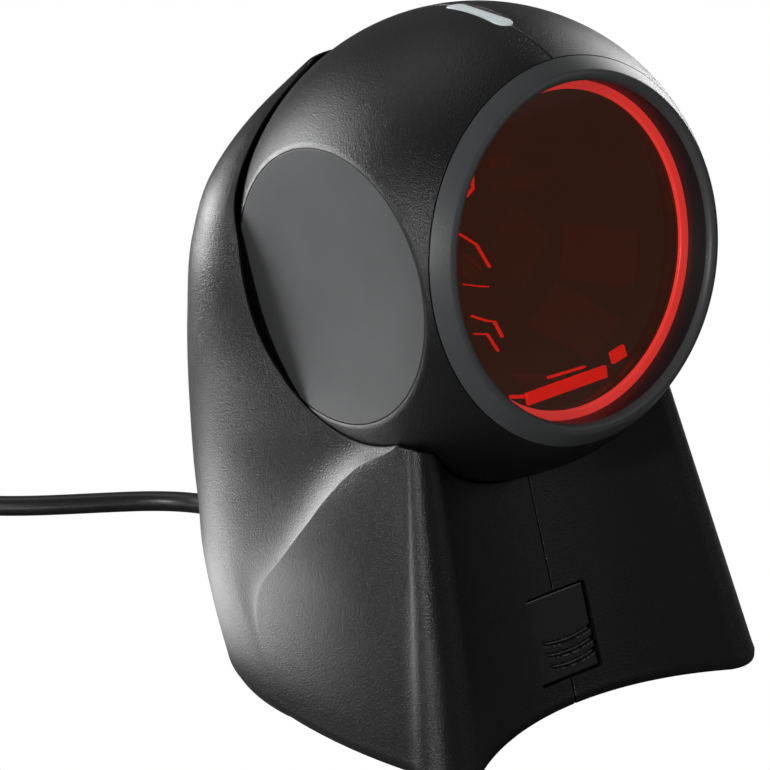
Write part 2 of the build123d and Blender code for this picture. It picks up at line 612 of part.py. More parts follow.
with BuildPart() as optics_chassis:
    with BuildSketch(head.offset(FLOOR_BACK)):
        Circle(CHASSIS_RADIUS)
    extrude(amount=CHASSIS_TOP - FLOOR_BACK)
    with BuildSketch(head):
        Circle(CHASSIS_RADIUS - CHASSIS_WALL)
    extrude(amount=CHASSIS_TOP, mode=Mode.SUBTRACT)
    with BuildSketch(head.offset(FLOOR_BACK)):
        with Locations((-35.45, 0), (35.45, 0)):
            Rectangle(2.9, 32)
    extrude(amount=12)
    with BuildSketch(head.offset(19)):
        with PolarLocations(LUG_CENTRE, 4, 45):
            SlotOverall(*LUG_SIZE)
        Circle(CHASSIS_RADIUS - 1, mode=Mode.SUBTRACT)
    extrude(amount=CHASSIS_TOP - 19)
    for post_ring, post_top in ((30.5, 11.2), (21.5, 2.7)):
        with BuildSketch(head):
            with PolarLocations(post_ring, 5, -162, 180):
                Rectangle(2, 6)
        extrude(amount=post_top)
    with BuildSketch(head):
        with Locations((0, 17.1)):
            Rectangle(21, 2)
    extrude(amount=3.4)
    with BuildSketch(head):
        with Locations((17.8, 18)):
            Rectangle(2, 16)
    extrude(amount=10)
    with BuildSketch(head.offset(BOARD_FRONT)):
        with Locations(*BOARD_SPOTS):
            Circle(2.6)
    extrude(amount=FLOOR_BACK - BOARD_FRONT)
    with BuildSketch(head.offset(BOARD_FRONT)):
        with Locations(*BOARD_SPOTS):
            Circle(SMALL_SHANK + 0.05)
    extrude(amount=8, mode=Mode.SUBTRACT)
    with BuildSketch(head.offset(FLOOR_BACK)):
        Circle(MOTOR_OPENING)
    extrude(amount=-FLOOR_BACK, mode=Mode.SUBTRACT)
    with BuildSketch(head.offset(19)):
        with PolarLocations(LUG_SCREW, 4, 45):
            Circle(SMALL_SHANK + 0.05)
    extrude(amount=5, mode=Mode.SUBTRACT)
    for side in (-1, 1):
        with BuildSketch(side_plane(side, 33)):
            with Locations(*SIDE_SCREW_SPOTS):
                Circle(SCREW_SHANK + 0.05)
        extrude(amount=5, mode=Mode.SUBTRACT)
save(optics_chassis.part, "optics_chassis")

with BuildPart() as chassis_screws:
    with BuildSketch(head.offset(19 - SMALL_HEAD_HEIGHT)):
        with PolarLocations(LUG_SCREW, 4, 45):
            Circle(SMALL_HEAD)
    extrude(amount=SMALL_HEAD_HEIGHT)
    with BuildSketch(head.offset(19)):
        with PolarLocations(LUG_SCREW, 4, 45):
            Circle(SMALL_SHANK)
    extrude(amount=6)
save(chassis_screws.part, "chassis_screws")

with BuildPart() as pattern_mirrors:
    with Locations(head.offset(MIRROR_D)):
        with PolarLocations(MIRROR_RING, 5, -162, 180):
            Box(*MIRROR_SIZE, rotation=(0, 45, 0))
save(pattern_mirrors.part, "pattern_mirrors")

up_the_head = Plane(origin=centre, x_dir=(1, 0, 0), z_dir=head.y_dir)
COLLECTOR_D, LASER_D = 10.0, 8.0

with BuildPart() as collection_mirror:
    with BuildSketch(up_the_head.offset(13.5)):
        with Locations((0, -COLLECTOR_D)):
            Circle(10)
        with Locations((0, -LASER_D)):
            Circle(0.8, mode=Mode.SUBTRACT)
    extrude(amount=2.5)
save(collection_mirror.part, "collection_mirror")

with BuildPart() as laser_module:
    with BuildSketch(up_the_head.offset(17)):
        with Locations((0, -LASER_D)):
            Circle(4)
            Circle(1, mode=Mode.SUBTRACT)
    extrude(amount=14)
save(laser_module.part, "laser_module")

with BuildPart() as laser_clamp:
    with BuildSketch(up_the_head.offset(20)):
        with Locations((0, -6.5)):
            Rectangle(14, 13)
        with Locations((0, -LASER_D)):
            Circle(4.05, mode=Mode.SUBTRACT)
    extrude(amount=8)
save(laser_clamp.part, "laser_clamp")

with BuildPart() as detector_board:
    with BuildSketch(head):
        with Locations((15.9, 18)):
            Rectangle(1.6, 14)
    extrude(amount=14)
save(detector_board.part, "detector_board")

with BuildPart() as photodiode:
    with BuildSketch(Plane(origin=centre + Vector(13.1, 0, 0), x_dir=head.z_dir, z_dir=(1, 0, 0))):
        with Locations((8, -16)):
            Circle(3)
    extrude(amount=2)
save(photodiode.part, "photodiode")

# ---------------------------------------------------------------- polygon motor
SHAFT_RADIUS = 1.5
BEARING_RADIUS = 3.0
HUB_TOP = 4.0

with BuildPart() as motor_stator:
    with BuildSketch(head.offset(FLOOR_BACK - 1.2)):
        Circle(12)
    extrude(amount=1.2)
    with BuildSketch(head.offset(FLOOR_BACK)):
        Circle(MOTOR_OPENING - 0.4)
    extrude(amount=2.9)
    with BuildSketch(head.offset(-10.5)):
        Circle(4.2)
    extrude(amount=8)
    with BuildSketch(head.offset(-10.5)):
        Circle(BEARING_RADIUS + 0.02)
    extrude(amount=12, mode=Mode.SUBTRACT)
save(motor_stator.part, "motor_stator")

with BuildPart() as motor_bearings:
    for bearing_d in (-9.8, -1.8):
        with BuildSketch(head.offset(bearing_d)):
            Circle(BEARING_RADIUS)
            Circle(SHAFT_RADIUS + 0.03, mode=Mode.SUBTRACT)
        extrude(amount=2.5)
save(motor_bearings.part, "motor_bearings")

with BuildPart() as motor_rotor:
    with BuildSketch(head.offset(1.2)):
        Circle(6.5)
    extrude(amount=HUB_TOP - 1.2)
    with BuildSketch(head.offset(-9)):
        Circle(SHAFT_RADIUS)
    extrude(amount=21.5)
save(motor_rotor.part, "motor_rotor")

with BuildPart() as polygon_mirror:
    with BuildSketch(head.offset(HUB_TOP)):
        RegularPolygon(9.2, 4)
        Circle(SHAFT_RADIUS + 0.02, mode=Mode.SUBTRACT)
    extrude(amount=8)
save(polygon_mirror.part, "polygon_mirror")

# ---------------------------------------------------------------- electronics
BOARD_RADIUS = 33.0
CONNECTOR_SIZE, CONNECTOR_DEPTH = (13.0, 11.0), 13.0
PLUG_SIZE = (11.0, 8.0)

with BuildPart() as main_board:
    with BuildSketch(head.offset(BOARD_BACK)):
        Circle(BOARD_RADIUS)
        Circle(5.5, mode=Mode.SUBTRACT)
        with Locations(*BOARD_SPOTS):
            Circle(SMALL_SHANK + 0.1, mode=Mode.SUBTRACT)
    extrude(amount=BOARD_FRONT - BOARD_BACK)
save(main_board.part, "main_board")

with BuildPart() as board_components:
    for spot, size, height in (((-14, 4), (10, 10), 1.4), ((-13, -10), (6, 5), 1.2), ((4, -16), (12, 7), 1.6),
                               ((18, -8), (5, 8), 3.0), ((0, 27), (10, 3), 2.0), ((-24, 12), (3, 6), 1.2)):
        with BuildSketch(head.offset(BOARD_BACK)):
            with Locations(spot):
                Rectangle(*size)
        extrude(amount=-height)
save(board_components.part, "board_components")

with BuildPart() as board_screws:
    with BuildSketch(head.offset(BOARD_BACK)):
        with Locations(*BOARD_SPOTS):
            Circle(SMALL_HEAD)
    extrude(amount=-SMALL_HEAD_HEIGHT)
    with BuildSketch(head.offset(BOARD_BACK)):
        with Locations(*BOARD_SPOTS):
            Circle(SMALL_SHANK)
    extrude(amount=7)
save(board_screws.part, "board_screws")

with BuildPart() as buzzer:
    with BuildSketch(head.offset(BOARD_BACK)):
        with Locations((14, 8)):
            Circle(6)
    extrude(amount=-5)
    with BuildSketch(head.offset(BOARD_BACK - 5)):
        with Locations((14, 8)):
            Circle(1)
    extrude(amount=1, mode=Mode.SUBTRACT)
save(buzzer.part, "buzzer")

with BuildPart() as data_connector:
    with BuildSketch(head.offset(BOARD_BACK)):
        with Locations((0, LEAD_Y)):
            Rectangle(*CONNECTOR_SIZE)
    extrude(amount=-CONNECTOR_DEPTH)
    with BuildSketch(head.offset(BOARD_BACK - CONNECTOR_DEPTH)):
        with Locations((0, LEAD_Y)):
            Rectangle(PLUG_SIZE[0] + 0.2, PLUG_SIZE[1] + 0.2)
    extrude(amount=10, mode=Mode.SUBTRACT)
save(data_connector.part, "data_connector")

with BuildPart() as cable_plug:
    with BuildSketch(head.offset(BOARD_BACK - CONNECTOR_DEPTH + 8)):
        with Locations((0, LEAD_Y)):
            RectangleRounded(*PLUG_SIZE, 0.6)
    extrude(amount=-17)
save(cable_plug.part, "cable_plug")
plug_end = BOARD_BACK - CONNECTOR_DEPTH + 8 - 17

with BuildPart() as head_lead:
    with BuildSketch(head.offset(plug_end)):
        with Locations((0, LEAD_Y)):
            Circle(CABLE_RADIUS)
    extrude(amount=-12.5)
save(head_lead.part, "head_lead")

# ---------------------------------------------------------------- status key
FLANGE_Z = (46.4, 47.4)       # key flange, above the ball's centre
SWITCH_TOP = 44.2
KEY_TRAVEL = 0.5

with BuildPart() as status_button:
    with BuildSketch(top_plane.offset(FLANGE_Z[0])):
        SlotOverall(*BUTTON_SIZE)
    extrude(amount=8)
    with Locations(Location(centre, (0, 90, 0))):
        Sphere(BALL_RADIUS, mode=Mode.INTERSECT)
    with BuildSketch(top_plane.offset(FLANGE_Z[0])):
        SlotOverall(BUTTON_SIZE[0] + 2, BUTTON_SIZE[1] + 1.8)
    extrude(amount=FLANGE_Z[1] - FLANGE_Z[0])
    with BuildSketch(top_plane.offset(SWITCH_TOP + KEY_TRAVEL + 0.05)):
        Circle(1.5)
    extrude(amount=FLANGE_Z[0] - SWITCH_TOP - KEY_TRAVEL)
save(status_button.part, "status_button")

with BuildPart() as indicator_board:
    with BuildSketch(top_plane.offset(INDICATOR_Z[0])):
        RectangleRounded(24, 20, 1.5)
    extrude(amount=INDICATOR_Z[1] - INDICATOR_Z[0])
save(indicator_board.part, "indicator_board")

with BuildPart() as status_leds:
    with BuildSketch(top_plane.offset(INDICATOR_Z[1])):
        with Locations((-6, 0), (6, 0)):
            Rectangle(3, 2)
    extrude(amount=1)
save(status_leds.part, "status_leds")

with BuildPart() as tact_switch:
    with BuildSketch(top_plane.offset(INDICATOR_Z[1])):
        Rectangle(6, 6)
    extrude(amount=1.4)
    with BuildSketch(top_plane.offset(INDICATOR_Z[1] + 1.4)):
        Circle(1.7)
    extrude(amount=SWITCH_TOP - INDICATOR_Z[1] - 1.4)
save(tact_switch.part, "tact_switch")

with BuildPart() as indicator_ribbon:
    with BuildSketch(middle):
        with BuildLine():
            Polyline((8, INDICATOR_Z[0] - 0.2), (18, INDICATOR_Z[0] - 0.2), (24, 33), (22.5, 25.5),
                     (21.3, 22.6))
        trace(line_width=0.4)
    extrude(amount=4, both=True)
save(indicator_ribbon.part, "indicator_ribbon")
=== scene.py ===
"""Looks of the hands-free presentation scanner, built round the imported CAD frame."""
import json
from math import asin, atan2, cos, pi, radians, sin, sqrt

import bmesh
import bpy
import numpy as np
from mathutils import Matrix, Vector


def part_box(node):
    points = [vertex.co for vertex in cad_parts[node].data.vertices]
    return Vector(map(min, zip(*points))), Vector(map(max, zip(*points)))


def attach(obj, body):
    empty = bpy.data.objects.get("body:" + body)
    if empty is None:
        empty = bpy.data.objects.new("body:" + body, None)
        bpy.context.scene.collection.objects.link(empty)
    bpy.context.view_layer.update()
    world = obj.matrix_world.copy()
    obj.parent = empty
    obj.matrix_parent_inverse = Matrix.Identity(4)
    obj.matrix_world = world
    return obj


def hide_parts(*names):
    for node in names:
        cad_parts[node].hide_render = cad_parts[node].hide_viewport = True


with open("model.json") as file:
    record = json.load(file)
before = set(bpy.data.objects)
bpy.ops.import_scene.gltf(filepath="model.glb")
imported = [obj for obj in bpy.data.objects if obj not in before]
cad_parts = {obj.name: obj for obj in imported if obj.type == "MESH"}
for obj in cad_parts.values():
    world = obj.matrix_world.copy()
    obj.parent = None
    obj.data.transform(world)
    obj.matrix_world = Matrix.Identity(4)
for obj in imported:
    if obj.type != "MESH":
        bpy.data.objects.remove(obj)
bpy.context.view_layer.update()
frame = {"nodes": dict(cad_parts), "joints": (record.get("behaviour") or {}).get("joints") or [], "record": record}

MM = 0.001
joints = {joint["name"]: joint for joint in frame["joints"]}

# ---------------------------------------------------------------- places taken from the frame
CENTRE = Vector(joints["head_tilt"]["pos_m"])
WINDOW_AXIS = Vector(joints["polygon_spin"]["axis"]).normalized()
RIGHT = Vector((1, 0, 0))
HEAD_UP = WINDOW_AXIS.cross(RIGHT).normalized()
BALL = CENTRE.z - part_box("head_shell_right")[0].z
CAP_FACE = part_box("side_cap_right")[1].x
CAP_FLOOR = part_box("side_cap_right")[0].x
CAP_RADIUS = (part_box("side_cap_right")[1].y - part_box("side_cap_right")[0].y) / 2
WINDOW_RADIUS = (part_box("scan_window")[1].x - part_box("scan_window")[0].x) / 2


# ---------------------------------------------------------------- materials
BLOTCH_MM = 2.2               # size of the blotches in the painted red glow of the glint bars


def node(tree, kind, **inputs):
    made = tree.nodes.new(kind)
    for key, value in inputs.items():
        made.inputs[key.replace("_", " ")].default_value = value
    return made


def finish(name, colour, roughness, grain_mm=0.4, grain_depth_mm=0.0, tone=0.15, patch_mm=14.0,
           rough_spread=0.06, **principled):
    """Principled material with procedural grain, tone and roughness changes over the surface."""
    made = bpy.data.materials.new(name)
    made.use_nodes = True
    tree = made.node_tree
    shader = tree.nodes["Principled BSDF"]
    for key, value in principled.items():
        shader.inputs[key.replace("_", " ")].default_value = value
    coordinates = tree.nodes.new("ShaderNodeTexCoord")
    patches = node(tree, "ShaderNodeTexNoise", Scale=1000 / patch_mm, Detail=3.0)
    grain = node(tree, "ShaderNodeTexNoise", Scale=1000 / grain_mm, Detail=2.0, Roughness=0.6)
    for texture in (patches, grain):
        tree.links.new(coordinates.outputs["Object"], texture.inputs["Vector"])
    tones = tree.nodes.new("ShaderNodeMapRange")
    tones.inputs["To Min"].default_value = 1 - tone
    tones.inputs["To Max"].default_value = 1 + tone
    tree.links.new(patches.outputs["Fac"], tones.inputs["Value"])
    tint = tree.nodes.new("ShaderNodeMix")
    tint.data_type = "RGBA"
    tint.blend_type = "MULTIPLY"
    tint.inputs["Factor"].default_value = 1.0
    tint.inputs[6].default_value = (*colour, 1)
    tree.links.new(tones.outputs["Result"], tint.inputs[7])
    tree.links.new(tint.outputs[2], shader.inputs["Base Color"])
    rough = tree.nodes.new("ShaderNodeMapRange")
    rough.inputs["To Min"].default_value = roughness - rough_spread
    rough.inputs["To Max"].default_value = roughness + rough_spread
    tree.links.new(grain.outputs["Fac"], rough.inputs["Value"])
    tree.links.new(rough.outputs["Result"], shader.inputs["Roughness"])
    if grain_depth_mm:
        bump = node(tree, "ShaderNodeBump", Strength=1.0, Distance=grain_depth_mm * MM)
        tree.links.new(grain.outputs["Fac"], bump.inputs["Height"])
        tree.links.new(bump.outputs["Normal"], shader.inputs["Normal"])
    return made


LOOKS = {
    "shell_black": dict(colour=(0.006, 0.006, 0.0063), roughness=0.32, grain_mm=0.34, grain_depth_mm=0.13,
                        rough_spread=0.08, Specular_IOR_Level=0.5),
    "bezel_grey": dict(colour=(0.085, 0.088, 0.091), roughness=0.42, grain_mm=0.4, grain_depth_mm=0.03),
    "cap_grey": dict(colour=(0.068, 0.069, 0.071), roughness=0.5, grain_mm=0.4, grain_depth_mm=0.012,
                     Specular_IOR_Level=0.15),
    # window_red: its brownish emission is a painted glow lifting the window's tone, no lamp
    "window_red": dict(colour=(0.16, 0.010, 0.006), roughness=0.03, grain_mm=0.5, grain_depth_mm=0.0,
                       rough_spread=0.01, Transmission_Weight=1.0, IOR=1.45, Emission_Strength=0.6,
                       Emission_Color=(0.03, 0.0115, 0.0065, 1)),
    # ring_red: its emission is a painted glow on the red plastic, no lamp
    "ring_red": dict(colour=(0.95, 0.03, 0.02), roughness=0.35, grain_mm=0.4, grain_depth_mm=0.003,
                     Emission_Strength=0.4, Emission_Color=(1.0, 0.06, 0.05, 1)),
    # key_pale: its emission is a painted glow lifting the key's tone, no lamp
    "key_pale": dict(colour=(0.70, 0.72, 0.72), roughness=0.3, grain_mm=0.5, grain_depth_mm=0.004,
                     Subsurface_Weight=0.2, Coat_Weight=0.4, Emission_Strength=0.3,
                     Emission_Color=(0.8, 0.83, 0.83, 1)),
    "badge_black": dict(colour=(0.010, 0.010, 0.011), roughness=0.16, grain_mm=0.6, grain_depth_mm=0.003,
                        Coat_Weight=0.5),
    "base_black": dict(colour=(0.022, 0.022, 0.023), roughness=0.6, grain_mm=0.4, grain_depth_mm=0.03),
    "rubber_black": dict(colour=(0.014, 0.014, 0.014), roughness=0.75, grain_mm=0.5, grain_depth_mm=0.04),
    "cable_black": dict(colour=(0.014, 0.014, 0.015), roughness=0.34, grain_mm=0.7, grain_depth_mm=0.012),
    "screw_steel": dict(colour=(0.55, 0.55, 0.57), roughness=0.32, grain_mm=0.2, grain_depth_mm=0.004,
                        Metallic=1.0),
    "ballast_steel": dict(colour=(0.4, 0.4, 0.42), roughness=0.45, grain_mm=0.5, grain_depth_mm=0.02,
                          Metallic=1.0),
    "insert_brass": dict(colour=(0.75, 0.56, 0.26), roughness=0.35, grain_mm=0.3, grain_depth_mm=0.02,
                         Metallic=1.0),
    "bracket_nylon": dict(colour=(0.035, 0.035, 0.038), roughness=0.55, grain_mm=0.3,
                          grain_depth_mm=0.02),
    "pad_acetal": dict(colour=(0.7, 0.69, 0.65), roughness=0.4, grain_mm=0.4, grain_depth_mm=0.01),
    "chassis_black": dict(colour=(0.010, 0.009, 0.009), roughness=0.5, grain_mm=0.4, grain_depth_mm=0.02),
    "mirror_glass": dict(colour=(0.9, 0.9, 0.92), roughness=0.04, grain_mm=0.5, grain_depth_mm=0.0,
                         rough_spread=0.02, Metallic=1.0),
    "laser_brass": dict(colour=(0.7, 0.52, 0.25), roughness=0.3, grain_mm=0.3, grain_depth_mm=0.005,
                        Metallic=1.0),
    "motor_steel": dict(colour=(0.5, 0.5, 0.52), roughness=0.35, grain_mm=0.3, grain_depth_mm=0.006,
                        Metallic=1.0),
    "board_green": dict(colour=(0.02, 0.14, 0.05), roughness=0.38, grain_mm=0.4, grain_depth_mm=0.01),
    "component_black": dict(colour=(0.02, 0.02, 0.022), roughness=0.5, grain_mm=0.3, grain_depth_mm=0.01),
    "connector_pale": dict(colour=(0.7, 0.68, 0.6), roughness=0.45, grain_mm=0.3, grain_depth_mm=0.01),
    "led_amber": dict(colour=(0.85, 0.55, 0.15), roughness=0.2, grain_mm=0.4, grain_depth_mm=0.003,
                      Transmission_Weight=0.5),
    "ribbon_amber": dict(colour=(0.5, 0.26, 0.05), roughness=0.3, grain_mm=0.5, grain_depth_mm=0.004),
    "diode_dark": dict(colour=(0.03, 0.02, 0.04), roughness=0.15, grain_mm=0.4, grain_depth_mm=0.002),
}
FINISHES = {name: finish(name, **look) for name, look in LOOKS.items()}


def painted_glint_finish():
    """Painted red glow in uneven blotches, standing in for red reflections on the optics behind the window; no
    lamp.
    """
    made = finish("painted_red_glint", (0.9, 0.05, 0.03), 0.3, 0.4, 0.0, Emission_Color=(1.0, 0.05, 0.04, 1))
    tree = made.node_tree
    blotches = node(tree, "ShaderNodeTexNoise", Scale=1000 / BLOTCH_MM, Detail=3.0)
    glow = node(tree, "ShaderNodeMapRange", From_Min=0.35, From_Max=0.65, To_Min=0.5, To_Max=6.0)
    tree.links.new(blotches.outputs["Fac"], glow.inputs["Value"])
    tree.links.new(glow.outputs["Result"], tree.nodes["Principled BSDF"].inputs["Emission Strength"])
    return made


# Darker finish for the wall of the window recess: painted shade inside the recess
painted_recess_shade = finish("painted_recess_shade", (0.016, 0.016, 0.017), 0.42, 0.3, 0.006)
# Painted red glow for the glint bars behind the window, standing in for reflections
painted_red_glint = painted_glint_finish()

for part in frame["record"]["subparts"]:
    mesh = frame["nodes"][part["node"]].data
    mesh.materials.clear()
    mesh.materials.append(FINISHES[part["material_slot"]])


# ---------------------------------------------------------------- mesh helpers
def piece(name, points, faces, body, slot, replaces=(), angle=32, material=None, extra=()):
    """Mesh piece in the row frame that rides a body and takes a slot's finish."""
    mesh = bpy.data.meshes.new(name)
    mesh.from_pydata([tuple(point) for point in points], [], faces)
    mesh.validate()
    work = bmesh.new()
    work.from_mesh(mesh)
    bmesh.ops.remove_doubles(work, verts=work.verts, dist=1e-7)
    bmesh.ops.recalc_face_normals(work, faces=work.faces)
    work.to_mesh(mesh)
    work.free()
    for used in (material or FINISHES[slot], *extra):
        mesh.materials.append(used)
    made = bpy.data.objects.new(name, mesh)
    bpy.context.scene.collection.objects.link(made)
    shade(made, angle)
    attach(made, body)
    if replaces:
        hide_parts(*replaces)
    return made


def shade(target, angle):
    target.data.shade_smooth()
    target.data.set_sharp_from_angle(angle=radians(angle))


def grid_faces(rows, columns, wrap_rows=False, wrap_columns=False):
    """Quads of a grid of points stored row by row."""
    faces = []
    for i in range(rows if wrap_rows else rows - 1):
        for j in range(columns if wrap_columns else columns - 1):
            i2, j2 = (i + 1) % rows, (j + 1) % columns
            faces.append((i * columns + j, i * columns + j2, i2 * columns + j2, i2 * columns + j))
    return faces


def lathe(profile, origin, axis, steps, closed=True):
    """Points and faces of a profile of (radius, distance along the axis) turned about the axis."""
    axis = Vector(axis).normalized()
    across = axis.orthogonal().normalized()
    along = axis.cross(across)
    points = []
    for radius, distance in profile:
        for k in range(steps):
            turn = 2 * pi * k / steps
            points.append(origin + axis * distance + (across * cos(turn) + along * sin(turn)) * radius)
    return points, grid_faces(len(profile), steps, wrap_rows=closed, wrap_columns=True)


def arc(centre, radius, start, end, count):
    """Points on a circle in profile coordinates, from one angle to another in degrees."""
    return [(centre[0] + radius * cos(radians(a)), centre[1] + radius * sin(radians(a)))
            for a in np.linspace(start, end, count)]


def three_point_arc(a, b, c, shares):
    """Points of the circular arc through three plane points, at shares of its length."""
    a, b, c = (np.array(p, float) for p in (a, b, c))
    mid_ab, mid_bc = (a + b) / 2, (b + c) / 2
    ab, bc = b - a, c - b
    middle = np.linalg.solve(np.array([ab, bc]), np.array([mid_ab @ ab, mid_bc @ bc]))
    radius = np.linalg.norm(a - middle)
    angles = [atan2(*(p - middle)[::-1]) for p in (a, b, c)]
    sweep = (angles[2] - angles[0]) % (2 * pi)
    if (angles[1] - angles[0]) % (2 * pi) > sweep:
        sweep -= 2 * pi
    return [middle + radius * np.array((cos(angles[0] + sweep * s), sin(angles[0] + sweep * s)))
            for s in shares]


def cut(target, cutters, angle=32):
    """Takes the cutters out of a closed mesh."""
    for cutter in cutters:
        boolean = target.modifiers.new("cut", "BOOLEAN")
        boolean.operation = "DIFFERENCE"
        boolean.solver = "EXACT"
        boolean.object = cutter
    depsgraph = bpy.context.evaluated_depsgraph_get()
    result = bpy.data.meshes.new_from_object(target.evaluated_get(depsgraph))
    target.modifiers.clear()
    target.data = result
    shade(target, angle)


def drop(*objects):
    for made in objects:
        bpy.data.objects.remove(made)


def tool(name, points, faces):
    """Closed mesh used only to cut with."""
    mesh = bpy.data.meshes.new(name)
    mesh.from_pydata([tuple(point) for point in points], [], faces)
    work = bmesh.new()
    work.from_mesh(mesh)
    bmesh.ops.recalc_face_normals(work, faces=work.faces)
    work.to_mesh(mesh)
    work.free()
    made = bpy.data.objects.new(name, mesh)
    bpy.context.scene.collection.objects.link(made)
    return made


def prism(name, shape, low, high, place):
    """Straight prism of a plane shape between two heights, put in place by a function."""
    count = len(shape)
    points = [place(x, y, low) for x, y in shape] + [place(x, y, high) for x, y in shape]
    faces = [tuple(range(count))[::-1], tuple(range(count, 2 * count))]
    faces += [(k, (k + 1) % count, count + (k + 1) % count, count + k) for k in range(count)]
    return tool(name, points, faces)


def in_head(x, y, d):
    """Point of the head from its local right, up and window-axis distances."""
    return CENTRE + RIGHT * x + HEAD_UP * y + WINDOW_AXIS * d


# ---------------------------------------------------------------- stand
# Horizontal sections, millimetres: height, half-width, y of the widest point, y of the back,
# x and y of the shoulder crease, and how far the section is drawn in
SECTIONS = np.array((
    (0.8, 50.9, 4.6, 56.0, 50.8, 3.0, 0.6),
    (2.0, 50.95, 5.4, 56.2, 50.88, 3.6, 0.0),
    (4.0, 51.0, 7.0, 56.5, 50.94, 5.0, 0.0),
    (15.0, 51.0, 15.0, 58.0, 50.9, 12.0, 0.0),
    (28.0, 50.5, 22.0, 59.5, 50.4, 13.0, 0.0),
    (36.0, 50.0, 24.0, 60.3, 49.5, 7.4, 0.0),
    (45.0, 49.5, 27.0, 61.0, 47.3, 1.7, 0.0),
    (52.5, 49.3, 28.5, 61.3, 44.6, -2.6, 0.0),
    (60.0, 49.1, 29.7, 61.5, 41.0, -8.0, 0.0),
    (66.8, 49.0, 30.5, 61.5, 37.4, -16.5, 0.0),
    (80.0, 48.8, 31.0, 61.0, 41.5, -5.0, 0.0),
    (98.0, 46.5, 33.0, 58.8, 41.0, 8.0, 0.0),
    (110.0, 41.0, 35.0, 55.5, 36.5, 18.0, 0.0),
    (121.0, 27.5, 39.0, 50.5, 25.0, 28.0, 0.0),
    (130.6, 8.5, 42.0, 46.5, 7.5, 37.0, 0.0),
))
LEG_FOOT, LEG_TOP = 4.0, 66.8
CREASE_START, CREASE_GROWTH = 13.0, 11.0      # heights over which the shoulder turns into a sharp crease
HOLLOW = 0.27                 # slope with which the surface first turns inwards behind the crease
LEG_EDGES = (((36.0, -41.6), (31.6, -21.8)), ((43.8, -42.3), (34.9, -21.6)), ((47.7, -33.0), (36.6, -18.4)))
PANEL_FOOT, PANEL_SLOPE = -33.2, 0.337
RIM = ((-60, 65.2), (-24, 65.2), (-18.0, 67.6), (-16.0, 67.4), (-9.0, 64.7), (-4.0, 64.6), (3.4, 67.8),
       (11.6, 76.4), (43.2, 129.6), (60, 129.8))
RIM_ROUNDING = 1.6
CUP = 51.3                    # ball clearance in front
CUP_SIDE = 51.9               # ball clearance inside the hood
CAP_GAP = 0.5                 # clearance over the flat side caps
CORNER_BLEND = 0.3            # rounding where the rim meets the front cup
WALL = 2.4
RIM_WALL, RIM_TAPER = 0.75, 10.0  # wall at the rim, and the height over which it thins out
SEAM = 0.07                   # half the gap between the two stand halves
SEAM_DEPTH, SEAM_SLOPE = 0.4, 0.22            # groove along the seam: its depth, and the width of its side
RIM_START = 0.45              # where the rim's rounding starts, below the rim
RIM_EDGE = ((0.16, 0.04), (0.04, 0.14), (0.0, 0.34))    # rounding of the rim: distance down and inwards
WALL_SHARES = np.linspace(0, 1, 84)
LEVEL_STEP = 0.4
LEVELS = np.arange(SECTIONS[0, 0], SECTIONS[-1, 0], LEVEL_STEP)
CENTRE_Z = CENTRE.z / MM
LEG_BULGE = 0.04              # sagitta of the leg's side, as a share of its chord
HOOD_DRAFT = 0.45             # how fast the front edge runs back above the leg
HOOD_NARROWS = 41             # shoulder half-width below which the front edge draws in
INSET_SHARE = 0.7             # share of the foot's inset along each axis at the leg's corner
PANEL_SHARES = np.linspace(0.5, 1, 20)     # how closely the stretches of an outline are divided
CORNER_SHARES = np.linspace(0, 1, 13)[1:]
LEG_SHARES = (0.06, 0.14, 0.24, 0.36, 0.48, 0.6, 0.71, 0.8, 0.87, 0.925, 0.965, 0.99)
FLARE_SHARES = np.linspace(0, 1, 60)[:-1] ** 1.3
BACK_ANGLES = np.linspace(0, pi / 2, 60)


def hermite(start, leave, end, arrive, t):
    """Smooth curve between two values with given slopes at both ends, at a share of the way."""
    return ((2 * t ** 3 - 3 * t ** 2 + 1) * start + (t ** 3 - 2 * t ** 2 + t) * leave
            + (3 * t ** 2 - 2 * t ** 3) * end + (t ** 3 - t ** 2) * arrive)


def section_values(z):
    """The section table at a height, smoothly interpolated."""
    heights = SECTIONS[:, 0]
    slopes = np.gradient(SECTIONS[:, 1:], heights, axis=0)
    i = int(np.clip(np.searchsorted(heights, z) - 1, 0, len(heights) - 2))
    span = heights[i + 1] - heights[i]
    share = (z - heights[i]) / span
    return hermite(SECTIONS[i, 1:], span * slopes[i], SECTIONS[i + 1, 1:], span * slopes[i + 1], share)


def leg_point(edge, z, shoulder_x, inset):
    foot, top = np.array(edge[0]), np.array(edge[1])
    share = min(1.0, (z - LEG_FOOT) / (LEG_TOP - LEG_FOOT))
    point = foot + (top - foot) * share
    if z > LEG_TOP:
        point = point * (min(1.0, shoulder_x / HOOD_NARROWS), 1) + (0, HOOD_DRAFT * (z - LEG_TOP))
    return point + (-INSET_SHARE * inset, INSET_SHARE * inset)


def flare_points(shoulder, side, along_leg, crease):
    """The surface behind the shoulder crease, out to the widest point of the side."""
    reach = np.linalg.norm(side - shoulder)
    turned_in = np.array((-HOLLOW * (side[1] - shoulder[1]), side[1] - shoulder[1])) / reach
    leave = (along_leg + (turned_in - along_leg) * crease ** 2 * (3 - 2 * crease)) * reach
    arrive = np.array((0, reach))
    return [hermite(shoulder, leave, side, arrive, share) for share in FLARE_SHARES]


